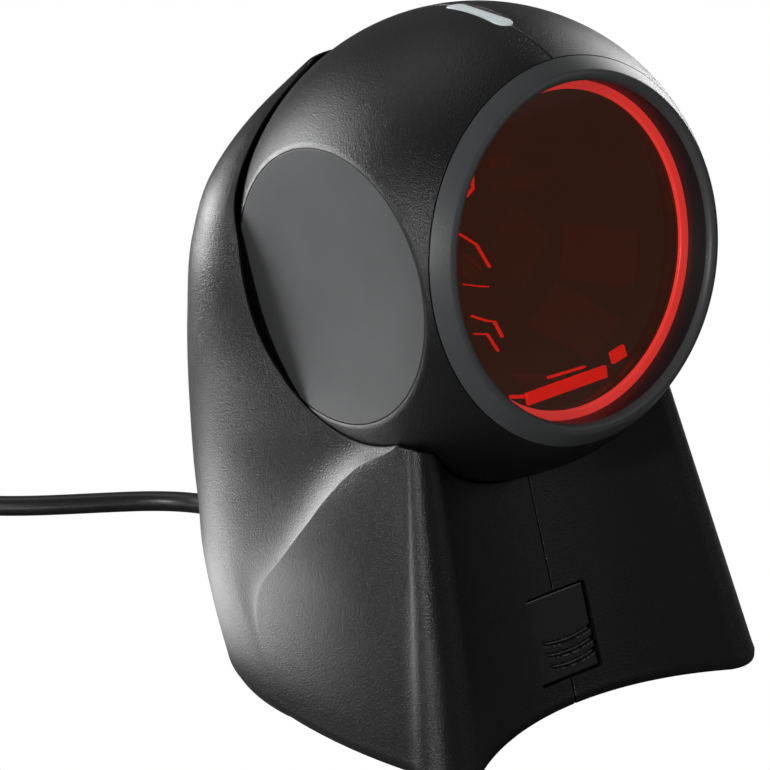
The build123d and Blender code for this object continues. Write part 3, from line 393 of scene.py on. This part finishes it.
def outline(z):
    """Right half of the stand's outline at a height, from the front seam round to the back seam."""
    side_x, side_y, back_y, shoulder_x, shoulder_y, inset = section_values(z)
    inner, corner, outer = (leg_point(edge, z, shoulder_x, inset) for edge in LEG_EDGES)
    front = np.array((0, PANEL_FOOT + PANEL_SLOPE * z + inset))
    shoulder = np.array((shoulder_x - inset, shoulder_y))
    side = np.array((side_x - inset, side_y))
    chord = shoulder - outer
    leg_middle = (shoulder + outer) / 2 + np.array((chord[1], -chord[0])) * LEG_BULGE
    panel = three_point_arc(inner * (-1, 1), front, inner, PANEL_SHARES)
    corner_arc = three_point_arc(inner, corner, outer, CORNER_SHARES)
    leg = three_point_arc(outer, leg_middle, shoulder, LEG_SHARES)
    along_leg = (shoulder - leg[-1]) / np.linalg.norm(shoulder - leg[-1])
    crease = np.clip((z - CREASE_START) / CREASE_GROWTH, 0, 1)
    flare = flare_points(shoulder, side, along_leg, crease)
    depth = back_y - inset - side_y
    back = [np.array((side[0] * cos(a), side_y + depth * sin(a))) for a in BACK_ANGLES]
    return np.array([*panel, *corner_arc, *leg, *flare, *back])


def rim_height(y):
    """Height of the stand's rim at a depth, with its corners rounded."""
    ys, zs = zip(*RIM)
    spread = np.linspace(-RIM_ROUNDING, RIM_ROUNDING, 9)
    return np.interp(np.asarray(y)[..., None] + spread, ys, zs).mean(-1)


def outward_normals(outlines):
    """Horizontal outward directions along the outlines, square to the seams at both ends."""
    along = np.gradient(outlines, axis=1)
    normals = np.stack((along[..., 1], -along[..., 0]), -1)
    normals /= np.maximum(np.linalg.norm(normals, axis=-1, keepdims=True), 1e-9)
    normals[:, 0] = (0, -1)
    normals[:, -1] = (0, 1)
    return normals


def rim_tops(outlines):
    """Height at which each column of the stand ends: at the rim, or at the front cup round the ball."""
    levels = LEVELS[:, None]
    outside_cup = np.sqrt((outlines ** 2).sum(-1) + (levels - CENTRE_Z) ** 2) - CUP
    below_rim = rim_height(outlines[..., 1]) - levels
    kept = -CORNER_BLEND * np.logaddexp(-below_rim / CORNER_BLEND, -outside_cup / CORNER_BLEND)
    tops = []
    for column in kept.T:
        cut_off = np.nonzero(column < 0)[0]
        if not len(cut_off):
            tops.append(LEVELS[-1])
            continue
        k = cut_off[0]
        share = column[k - 1] / (column[k - 1] - column[k])
        tops.append(LEVELS[k - 1] + (LEVELS[k] - LEVELS[k - 1]) * share)
    return tops


def lifted(point):
    """A point of the inner wall, kept clear of the ball and its flat caps and below the rim."""
    away = point - (0, 0, CENTRE_Z)
    gap = CUP_SIDE if point[1] > 0 else CUP
    length = np.linalg.norm(away)
    beside_cap = CAP_FACE / MM + CAP_GAP
    if length < gap and abs(point[0]) < beside_cap:
        pushed = away * gap / length + (0, 0, CENTRE_Z)
        point = pushed if pushed[0] < beside_cap else np.array((beside_cap, *point[1:]))
    return np.array((point[0], point[1], min(point[2], float(rim_height(point[1])))))


def wall_column(outline_points, normals, top):
    """One column of the stand's wall: up the outside, over the rounded rim, down the inside."""
    def surface(z, inward=0.0):
        x, y = (np.interp(z, LEVELS, outline_points[:, axis]) for axis in (0, 1))
        nx, ny = (np.interp(z, LEVELS, normals[:, axis]) for axis in (0, 1))
        return np.array((x - nx * inward, y - ny * inward, z))

    bottom = LEVELS[0]
    outer = [surface(bottom + (top - RIM_START - bottom) * share) for share in WALL_SHARES]
    edge = [surface(top - below, inward) for below, inward in RIM_EDGE]
    inner = []
    for share in WALL_SHARES[::-1]:
        taper = min(1.0, (top - bottom) * (1 - share) / RIM_TAPER)
        wall = RIM_WALL + (WALL - RIM_WALL) * taper
        inner.append(lifted(surface(bottom + (top - bottom) * share, wall)))
    return outer + edge + inner


def with_seam(columns):
    """The columns with a fine groove at both seams, where the two halves meet."""
    outer_rows = len(WALL_SHARES) + len(RIM_EDGE)
    first, last = columns[0].copy(), columns[-1].copy()
    first[:outer_rows, 1] += SEAM_DEPTH
    last[:outer_rows, 1] -= SEAM_DEPTH
    columns[0][:, 0] = SEAM + SEAM_SLOPE
    columns[-1][:, 0] = SEAM + SEAM_SLOPE
    first[:, 0] = SEAM
    last[:, 0] = SEAM
    return np.concatenate((first[None], columns, last[None]))


def stand_half(side):
    """One half of the stand as a closed shell."""
    outlines = np.array([outline(z) for z in LEVELS])
    normals = outward_normals(outlines)
    tops = rim_tops(outlines)
    walls = [wall_column(outlines[:, j], normals[:, j], top) for j, top in enumerate(tops)]
    columns = with_seam(np.array(walls))
    columns[..., 0] *= side
    count, rows = columns.shape[:2]
    faces = grid_faces(count, rows, wrap_columns=True)
    for base in (0, (count - 1) * rows):
        faces += [(base + i, base + i + 1, base + rows - 2 - i, base + rows - 1 - i)
                  for i in range(rows // 2 - 1)]
        faces.append((base + rows // 2 - 1, base + rows // 2, base + rows // 2 + 1))
    return (columns * MM).reshape(-1, 3), faces


# Badge on the front panel, and the pocket it sits in
BADGE_SUNK = 0.12 * MM
BADGE_THICKNESS = 1.2 * MM
BADGE_EDGE = 0.5 * MM         # rounding of the plate's edge
POCKET_GAP, POCKET_CORNER, POCKET_DEPTH = 0.5 * MM, 0.9 * MM, 1.7 * MM
POCKET_REACH = 6 * MM         # how far the cut for the pocket starts in front of the panel
GROOVES = 3
GROOVE_TOP, GROOVE_PITCH = -1.4 * MM, 2.6 * MM    # the first groove's height, and the step down
GROOVE_START, GROOVE_STAGGER = -6.2 * MM, 0.4 * MM    # where the grooves begin, on the plate's left
GROOVE_FADE = 1.6 * MM        # length over which a groove reaches its depth
GROOVE_LOW_X = 1.5 * MM       # where the grooves sag lowest
GROOVE_BEND = 16.0            # how fast they rise from there, per metre
GROOVE_HALF, GROOVE_DEPTH = 0.62 * MM, 0.75 * MM
BADGE = (17.4 * MM, 19.0 * MM)
BADGE_Z = 15.8
BADGE_ORIGIN = Vector((0, PANEL_FOOT + PANEL_SLOPE * BADGE_Z, BADGE_Z)) * MM
PANEL_OUT = Vector((0, -1, PANEL_SLOPE)).normalized()
PANEL_UP = PANEL_OUT.cross(RIGHT).normalized()


def on_panel(x, y, out):
    return BADGE_ORIGIN + RIGHT * x + PANEL_UP * y + PANEL_OUT * out


def rounded_rectangle(width, height, radius, count=6):
    outline_points = []
    for k, (sx, sy) in enumerate(((1, 1), (-1, 1), (-1, -1), (1, -1))):
        for a in np.linspace(90 * k, 90 * k + 90, count):
            outline_points.append((sx * (width / 2 - radius) + radius * cos(radians(a)),
                                   sy * (height / 2 - radius) + radius * sin(radians(a))))
    return outline_points


def build_stand():
    pocket = rounded_rectangle(BADGE[0] + POCKET_GAP, BADGE[1] + POCKET_GAP, POCKET_CORNER)
    cutter = prism("pocket", pocket, -POCKET_DEPTH, POCKET_REACH, on_panel)
    for side, name in ((-1, "left"), (1, "right")):
        made = piece(f"stand_{name}", *stand_half(side), "stand", "shell_black",
                     [f"stand_shell_{name}"], angle=40)
        cut(made, [cutter], angle=40)
    drop(cutter)


def badge_depth(x, y):
    """How far the badge's face lies below the panel at a place: its rounded edge and its grooves."""
    groove = 0.0
    for k in range(GROOVES):
        line = GROOVE_TOP - GROOVE_PITCH * k + GROOVE_BEND * (x - GROOVE_LOW_X) ** 2
        start = GROOVE_START + GROOVE_STAGGER * k
        inside = np.clip((x - start) / GROOVE_FADE, 0, 1)
        groove = max(groove, inside * max(0.0, 1 - ((y - line) / GROOVE_HALF) ** 2))
    edge = min(BADGE[0] / 2 - abs(x), BADGE[1] / 2 - abs(y))
    rounding = BADGE_EDGE * max(0.0, 1 - edge / BADGE_EDGE) ** 2
    return BADGE_SUNK + GROOVE_DEPTH * groove + rounding


def build_badge():
    """Smooth plate with curved grooves in its lower half, as a height field with a rim."""
    across, up = np.linspace(-0.5, 0.5, 90), np.linspace(-0.5, 0.5, 100)
    points = [on_panel(u * BADGE[0], v * BADGE[1], -badge_depth(u * BADGE[0], v * BADGE[1]))
              for v in up for u in across]
    columns, rows = len(across), len(up)
    faces = grid_faces(rows, columns)
    border = (list(range(columns)) + [i * columns + columns - 1 for i in range(1, rows)]
              + [(rows - 1) * columns + j for j in range(columns - 2, -1, -1)]
              + [i * columns for i in range(rows - 2, 0, -1)])
    start, count = len(points), len(border)
    points += [points[b] - PANEL_OUT * BADGE_THICKNESS for b in border]
    faces += [(border[k], border[(k + 1) % count], start + (k + 1) % count, start + k) for k in range(count)]
    faces.append(tuple(start + k for k in range(count)))
    piece("badge", points, faces, "stand", "badge_black", ["badge_plate"], angle=50)


# ---------------------------------------------------------------- head
def slot_outline(length, width, count=14):
    """Stadium outline, long way first."""
    radius = width / 2
    reach = length / 2 - radius
    ends = [(reach + radius * cos(a), radius * sin(a)) for a in np.linspace(-pi / 2, pi / 2, count)]
    return ends + [(-x, -y) for x, y in ends]


# Depths along the window axis are from the ball's centre
BALL_STEPS = 224              # faces round the ball and its bezel
BALL_WALL = 2.2 * MM
HALF_SEAM = 0.07 * MM         # half the gap between the two shells
SEAM_GROOVE = 0.35 * MM       # depth of the groove along the seam, and the rounding beside it
SEAM_ROUNDING = 0.30 * MM
RECESS_GAP = 0.07 * MM        # gap round a side cap, widened by a bevel at the ball's surface
RECESS_BEVEL, BEVEL_TOP, BEVEL_FOOT = 0.12 * MM, 0.03 * MM, 0.2 * MM
RECESS_EDGE = 0.006           # radians by which the ball's surface stops short of the cap's plane
INNER_EDGE = 0.02             # radians from the seam at which the inner surface ends
RECESS_HOLE, RECESS_FLOOR = 22 * MM, 2 * MM
OPENING = 30.75 * MM          # front opening, cut square to the window axis
OPENING_REACH = (60 * MM, 70 * MM)            # radius and far end of the cut
KEY = (18.5 * MM, 4.5 * MM)   # length and width
KEY_GAP = 0.55 * MM
KEY_SLOT = (44 * MM, 56 * MM)                 # heights between which the key's slot is cut
# Key, millimetres: how far its outline is drawn in, and its rise above the ball
KEY_SECTIONS = ((0.0, -2.4), (0.0, -0.35), (0.08, -0.12), (0.25, 0.0), (0.6, 0.03), (1.2, 0.04), (1.9, 0.045))
LIP = WINDOW_RADIUS + 0.1 * MM                # radius of the recess's wall round the window
LIP_MARGIN = 0.02 * MM
BEZEL_SEAM, BEZEL_SEAM_GAP = 30.9 * MM, 0.12 * MM
CROWN_START, CROWN_END = 0.15, 42.3           # degrees over which the bezel follows the ball
ROLL_CORNER = (LIP + 0.35 * MM, 35.2 * MM)    # corner that the bezel rounds on its way into the recess
ROLL_END, RECESS_END = 33.0 * MM, 26.0 * MM
ROLL_SHARES = np.linspace(0.08, 1, 12)
COLLAR_INNER, COLLAR_OUTER = 33.6 * MM, 37.5 * MM
COLLAR_BACK, COLLAR_STEP = 22.5 * MM, 24.4 * MM
RING_TOP, RING_BACK = 27.5 * MM, 26.6 * MM
RING_WIDTH, RING_GAP = 2.0 * MM, 0.02 * MM
RING_ROUNDING, RING_RISE = 0.35 * MM, 0.1 * MM
CAP_EDGE = 0.3 * MM
CAP_FLAT, CAP_HUB = 20 * MM, 8 * MM           # radii that divide a cap's flat face

# Bars just behind the window with a painted red glow, standing in for red reflections on the optics: (right, up,
# window axis) points and width, millimetres
GLINT_DEPTH = 0.8
GLINT_BARS = {
    "foot": (((-10.6, -29.9, 21.0), (12.4, -29.7, 21.0)), 2.6),
    "foot_end": (((-15.0, -28.2, 21.0), (-10.9, -29.2, 21.0)), 0.7),
    "foot_low": (((-4.0, -26.9, 21.0), (6.5, -27.2, 21.0)), 0.4),
    "tab": (((14.4, -27.4, 21.0), (18.4, -26.6, 21.0)), 2.6),
    "left_high": (((-23.0, 8.5, 21.0), (-18.0, 5.0, 20.0), (-13.5, -1.0, 18.0)), 0.3),
    "left_mid": (((-23.6, -2.0, 21.0), (-19.0, -3.6, 20.0), (-15.5, -4.6, 19.0)), 0.26),
    "left_low": (((-22.5, -9.0, 21.0), (-18.0, -11.2, 20.0), (-15.0, -12.2, 19.0), (-12.5, -16.2, 18.0)),
                 0.4),
    "left_foot": (((-22.0, -13.0, 20.5), (-18.2, -14.0, 20.0), (-15.0, -18.5, 19.0)), 0.3),
    "left_top": (((-19.5, 15.5, 20.5), (-17.0, 16.6, 20.0), (-15.8, 19.2, 19.0)), 0.34),
}


def on_top(x, y, height):
    """Point above the ball's centre: x along the row's +Y, y along +X."""
    return CENTRE + Vector((y, x, height))


def solid_lathe(profile, axis, steps):
    """Closed solid of revolution about an axis through the ball's centre, from axis to axis."""
    points, faces = lathe(profile[1:-1], CENTRE, axis, steps, closed=False)
    low, high = len(points), len(points) + 1
    points += [CENTRE + axis * profile[0][1], CENTRE + axis * profile[-1][1]]
    last = (len(profile) - 3) * steps
    for k in range(steps):
        faces.append((low, (k + 1) % steps, k))
        faces.append((high, last + k, last + (k + 1) % steps))
    return points, faces


def ball_profile():
    """Wall of a half shell: seam groove, outside, bevelled recess for the side cap, inside."""
    inner, recess, floor = BALL - BALL_WALL, CAP_RADIUS + RECESS_GAP, CAP_FLOOR - RECESS_FLOOR
    outside = np.linspace(SEAM_ROUNDING / BALL, asin(CAP_FACE / BALL) - RECESS_EDGE, 64)
    inside = np.linspace(asin(floor / inner), INNER_EDGE, 12)
    return [(inner, HALF_SEAM), (BALL - SEAM_GROOVE, HALF_SEAM),
            *[(BALL * cos(a), BALL * sin(a)) for a in outside],
            (CAP_RADIUS + RECESS_BEVEL, CAP_FACE - BEVEL_TOP), (recess, CAP_FACE - BEVEL_FOOT),
            (recess, CAP_FLOOR), (RECESS_HOLE, CAP_FLOOR), (RECESS_HOLE, floor),
            *[(inner * cos(a), inner * sin(a)) for a in inside]]


def build_ball():
    """Two half shells with a seam groove, cap recesses, a front opening and the key's slot."""
    radius, end = OPENING_REACH
    opening = [(0, OPENING), (radius, OPENING), (radius, end), (0, end)]
    front = tool("front", *solid_lathe(opening, WINDOW_AXIS, 96))
    slot = prism("slot", slot_outline(KEY[0] + KEY_GAP, KEY[1] + KEY_GAP), *KEY_SLOT, on_top)
    for side, name in ((-1, "left"), (1, "right")):
        shell = lathe(ball_profile(), CENTRE, RIGHT * side, BALL_STEPS)
        made = piece(f"ball_{name}", *shell, "head", "shell_black", [f"head_shell_{name}"])
        cut(made, [front, slot])
    drop(front, slot)


def build_bezel():
    """Smooth ring round the window recess, following the ball and rolling over into the recess; the recess wall
    takes a darker finish, painted shade.
    """
    seam_radius = sqrt(BALL ** 2 - BEZEL_SEAM ** 2)
    crown = arc((0, 0), BALL, np.degrees(asin(BEZEL_SEAM / BALL)) + CROWN_START, CROWN_END, 14)
    roll = []
    for t in ROLL_SHARES:
        roll.append(tuple((1 - t) ** 2 * a + 2 * t * (1 - t) * b + t ** 2 * c
                          for a, b, c in zip(crown[-1], ROLL_CORNER, (LIP, ROLL_END))))
    profile = [(COLLAR_INNER, COLLAR_BACK), (COLLAR_OUTER, COLLAR_BACK), (COLLAR_OUTER, BEZEL_SEAM),
               (seam_radius - BEZEL_SEAM_GAP, BEZEL_SEAM), *crown, *roll,
               (LIP, RECESS_END), (LIP, COLLAR_STEP), (COLLAR_INNER, COLLAR_STEP)]
    bezel = piece("bezel", *lathe(profile, CENTRE, WINDOW_AXIS, BALL_STEPS), "head", "bezel_grey",
                  ["front_bezel"], extra=[painted_recess_shade])
    # Faces of the recess wall get the darker finish: painted shade inside the recess
    for face in bezel.data.polygons:
        out = face.center - CENTRE
        if (out - WINDOW_AXIS * out.dot(WINDOW_AXIS)).length < LIP + LIP_MARGIN:
            face.material_index = 1


def build_ring():
    """Bright red ring that holds the window, rounded on its inner edge; its brightness is partly a painted glow in
    its finish.
    """
    inner, outer = LIP - RING_WIDTH, LIP - RING_GAP
    rounding = arc((inner + RING_ROUNDING, RING_TOP - RING_ROUNDING), RING_ROUNDING, 180, 90, 7)
    profile = [(inner, RING_BACK), *rounding, (outer, RING_TOP + RING_RISE), (outer, RING_BACK)]
    piece("ring", *lathe(profile, CENTRE, WINDOW_AXIS, 200), "head", "ring_red", ["window_ring"])


def build_caps():
    """Flat side caps with a rolled edge."""
    rolled = arc((CAP_RADIUS - CAP_EDGE, CAP_FACE - CAP_EDGE), CAP_EDGE, 0, 90, 6)
    profile = [(0, CAP_FLOOR), (CAP_HUB, CAP_FLOOR), (CAP_RADIUS, CAP_FLOOR), *rolled,
               (CAP_FLAT, CAP_FACE), (CAP_HUB, CAP_FACE), (0, CAP_FACE)]
    for side, name in ((-1, "left"), (1, "right")):
        piece(f"cap_{name}", *solid_lathe(profile, RIGHT * side, 160), "head", "cap_grey",
              [f"side_cap_{name}"])


def build_key():
    """Pale rounded bar in the ball's top, following the ball's curve."""
    points = []
    for shrink, rise in KEY_SECTIONS:
        for x, y in slot_outline(KEY[0] - 2 * shrink * MM, KEY[1] - 2 * shrink * MM):
            points.append(on_top(x, y, sqrt(BALL ** 2 - x * x - y * y) + rise * MM))
    count = len(points) // len(KEY_SECTIONS)
    faces = grid_faces(len(KEY_SECTIONS), count, wrap_columns=True)
    faces.append(tuple(range(count))[::-1])
    top = (len(KEY_SECTIONS) - 1) * count
    faces += [(top + k, top + k + 1, top + count - 2 - k, top + count - 1 - k) for k in range(count // 2 - 1)]
    piece("key", points, faces, "button", "key_pale", ["status_button"])


def strip(points, width, depth):
    """Bent bar along points given as (right, up, window axis) in millimetres."""
    corners, faces = [], []
    for i, (x, y, d) in enumerate(points):
        ahead = Vector(points[min(i + 1, len(points) - 1)]) - Vector(points[max(i - 1, 0)])
        across = Vector((-ahead.y, ahead.x, 0)).normalized() * width / 2
        for side, drop_back in ((1, 0), (-1, 0), (-1, depth), (1, depth)):
            corners.append(in_head(*((Vector((x, y, d - drop_back)) + across * side) * MM)))
    for i in range(len(points) - 1):
        faces += [(4 * i + k, 4 * i + (k + 1) % 4, 4 * i + 4 + (k + 1) % 4, 4 * i + 4 + k) for k in range(4)]
    last = 4 * (len(points) - 1)
    return corners, faces + [(3, 2, 1, 0), (last, last + 1, last + 2, last + 3)]


def build_painted_glints():
    """Bars just behind the window with a painted red glow, standing in for red reflections on the optics; no lamp.
    """
    for name, (points, width) in GLINT_BARS.items():
        piece(f"painted_glint_{name}", *strip(points, width, GLINT_DEPTH), "head", "ring_red", angle=20,
              material=painted_red_glint)


# ---------------------------------------------------------------- cable
CABLE_RADIUS = 2.4
CABLE_POINTS = (
    (0, 54.5, 84), (0, 51.6, 54), (0, 49, 26), (0, 51.4, 14.4), (0, 58, 9.2), (0.3, 70, 7.6),
    (1.8, 83, 6.4), (3.4, 95, 4.4), (-4, 109, 3.1), (-28, 128, 2.6), (-46, 145.5, 2.6),
)


def smooth_path(points, per_span=14):
    """Catmull-Rom curve through points."""
    p = np.array(points, float)
    p = np.vstack((2 * p[0] - p[1], p, 2 * p[-1] - p[-2]))
    path = []
    for i in range(1, len(p) - 2):
        for t in np.arange(per_span) / per_span:
            path.append(0.5 * (2 * p[i] + (p[i + 1] - p[i - 1]) * t
                               + (2 * p[i - 1] - 5 * p[i] + 4 * p[i + 1] - p[i + 2]) * t ** 2
                               + (3 * p[i] - p[i - 1] - 3 * p[i + 1] + p[i + 2]) * t ** 3))
    path.append(p[-2])
    return np.array(path)


def tube(path, radius, steps=28):
    """Closed tube round a path, with flat ends."""
    points = []
    across = Vector((1, 0, 0))
    for i, place in enumerate(path):
        ahead = Vector(path[min(i + 1, len(path) - 1)] - path[max(i - 1, 0)]).normalized()
        across = (across - ahead * across.dot(ahead)).normalized()
        along = ahead.cross(across)
        for k in range(steps):
            turn = 2 * pi * k / steps
            points.append(Vector(place) + (across * cos(turn) + along * sin(turn)) * radius)
    faces = grid_faces(len(path), steps, wrap_columns=True)
    faces.append(tuple(range(steps))[::-1])
    faces.append(tuple(range((len(path) - 1) * steps, len(path) * steps)))
    return points, faces


def build_cable():
    path = smooth_path(CABLE_POINTS) * MM
    piece("cable_run", *tube(path, CABLE_RADIUS * MM), "stand", "cable_black", ["cable"], angle=50)


build_stand()
build_badge()
build_ball()
build_bezel()
build_ring()
build_caps()
build_key()
build_painted_glints()
build_cable()

# ---------------------------------------------------------------- floor, lights and camera
FLOOR_Z = -0.05 * MM          # just under the feet
FLOOR_REACH = 4.0
PATCH = (-0.100, 0.085, 0.0)  # lit patch of floor beside the stand's back, seen only in reflections
PATCH_EDGE = (0.015, 0.075)
PATCH_GLOW = 9.0
WORLD_GLOW = 0.12
WHITE = (1, 1, 1, 1)
AZIMUTH, ELEVATION = radians(-41.473), radians(22.133)
CAMERA_PLACE = Vector((-0.5711, -0.6165, 0.4068))
LENS, SENSOR_WIDTH = 196.98, 36.0             # millimetres
LOW_LEFT = (-0.05, 0.03, 0.03)                # low on the stand's left side
# Lights: name, place, what it faces, size and watts
LIGHTS = (
    ("side_box", (-0.95, -0.26, 0.40), CENTRE, (0.09, 0.12), 4),
    ("back_left", (-0.46, 0.85, 0.34), CENTRE, (0.5, 0.5), 10),
    ("low_back", (-0.30, 0.93, 0.09), LOW_LEFT, (0.35, 0.16), 4),
    ("overhead", (0.0, 0.45, 0.95), CENTRE, (0.6, 0.3), 0.8),
    ("front_right", (0.62, -0.80, 0.50), CENTRE, (0.5, 0.2), 0.5),
    ("right_rim", (0.95, 0.35, 0.22), CENTRE, (0.2, 0.6), 4),
)


def light_floor(material):
    """Plain white to the camera; to reflections, the pale floor with its lit patch."""
    tree = material.node_tree
    place = tree.nodes.new("ShaderNodeTexCoord")
    away = tree.nodes.new("ShaderNodeVectorMath")
    away.operation = "DISTANCE"
    away.inputs[1].default_value = PATCH
    tree.links.new(place.outputs["Object"], away.inputs[0])
    fade = node(tree, "ShaderNodeMapRange", From_Min=PATCH_EDGE[0], From_Max=PATCH_EDGE[1],
                To_Min=PATCH_GLOW, To_Max=0)
    tree.links.new(away.outputs["Value"], fade.inputs["Value"])
    patch = node(tree, "ShaderNodeEmission", Color=WHITE)
    tree.links.new(fade.outputs["Result"], patch.inputs["Strength"])
    lit = tree.nodes.new("ShaderNodeAddShader")
    tree.links.new(tree.nodes["Principled BSDF"].outputs["BSDF"], lit.inputs[0])
    tree.links.new(patch.outputs["Emission"], lit.inputs[1])
    backdrop = node(tree, "ShaderNodeEmission", Color=WHITE, Strength=1.0)
    rays = tree.nodes.new("ShaderNodeLightPath")
    mix = tree.nodes.new("ShaderNodeMixShader")
    tree.links.new(rays.outputs["Is Camera Ray"], mix.inputs["Fac"])
    tree.links.new(lit.outputs["Shader"], mix.inputs[1])
    tree.links.new(backdrop.outputs["Emission"], mix.inputs[2])
    tree.links.new(mix.outputs["Shader"], tree.nodes["Material Output"].inputs["Surface"])


def build_floor():
    corners = [(x * FLOOR_REACH, y * FLOOR_REACH, FLOOR_Z) for x, y in ((-1, -1), (1, -1), (1, 1), (-1, 1))]
    mesh = bpy.data.meshes.new("floor")
    mesh.from_pydata(corners, [], [(0, 1, 2, 3)])
    pale = finish("floor_pale", (0.20, 0.20, 0.20), 0.9, 3.0, 0.0, tone=0.02)
    light_floor(pale)
    mesh.materials.append(pale)
    floor = bpy.data.objects.new("floor", mesh)
    bpy.context.scene.collection.objects.link(floor)


def area_light(name, place, target, size, watts):
    light = bpy.data.lights.new(name, "AREA")
    light.shape = "RECTANGLE"
    light.size, light.size_y = size
    light.energy = watts
    made = bpy.data.objects.new(name, light)
    made.location = place
    aim = Vector(target) - Vector(place)
    made.rotation_euler = aim.to_track_quat("-Z", "Y").to_euler()
    bpy.context.scene.collection.objects.link(made)


def build_world():
    world = bpy.data.worlds.new("studio")
    bpy.context.scene.world = world
    world.use_nodes = True
    background = world.node_tree.nodes["Background"]
    background.inputs["Color"].default_value = WHITE
    background.inputs["Strength"].default_value = WORLD_GLOW


def build_camera():
    data = bpy.data.cameras.new("camera")
    data.lens = LENS
    data.sensor_width = SENSOR_WIDTH
    camera = bpy.data.objects.new("camera", data)
    back = Vector((sin(AZIMUTH) * cos(ELEVATION), -cos(AZIMUTH) * cos(ELEVATION), sin(ELEVATION)))
    right = Vector((cos(AZIMUTH), sin(AZIMUTH), 0))
    up = back.cross(right)
    turn = Matrix((right, up, back)).transposed().to_4x4()
    camera.matrix_world = Matrix.Translation(CAMERA_PLACE) @ turn
    bpy.context.scene.collection.objects.link(camera)
    bpy.context.scene.camera = camera


build_floor()
build_world()
build_camera()
for light in LIGHTS:
    area_light(*light)
bpy.context.scene.view_settings.view_transform = "Standard"
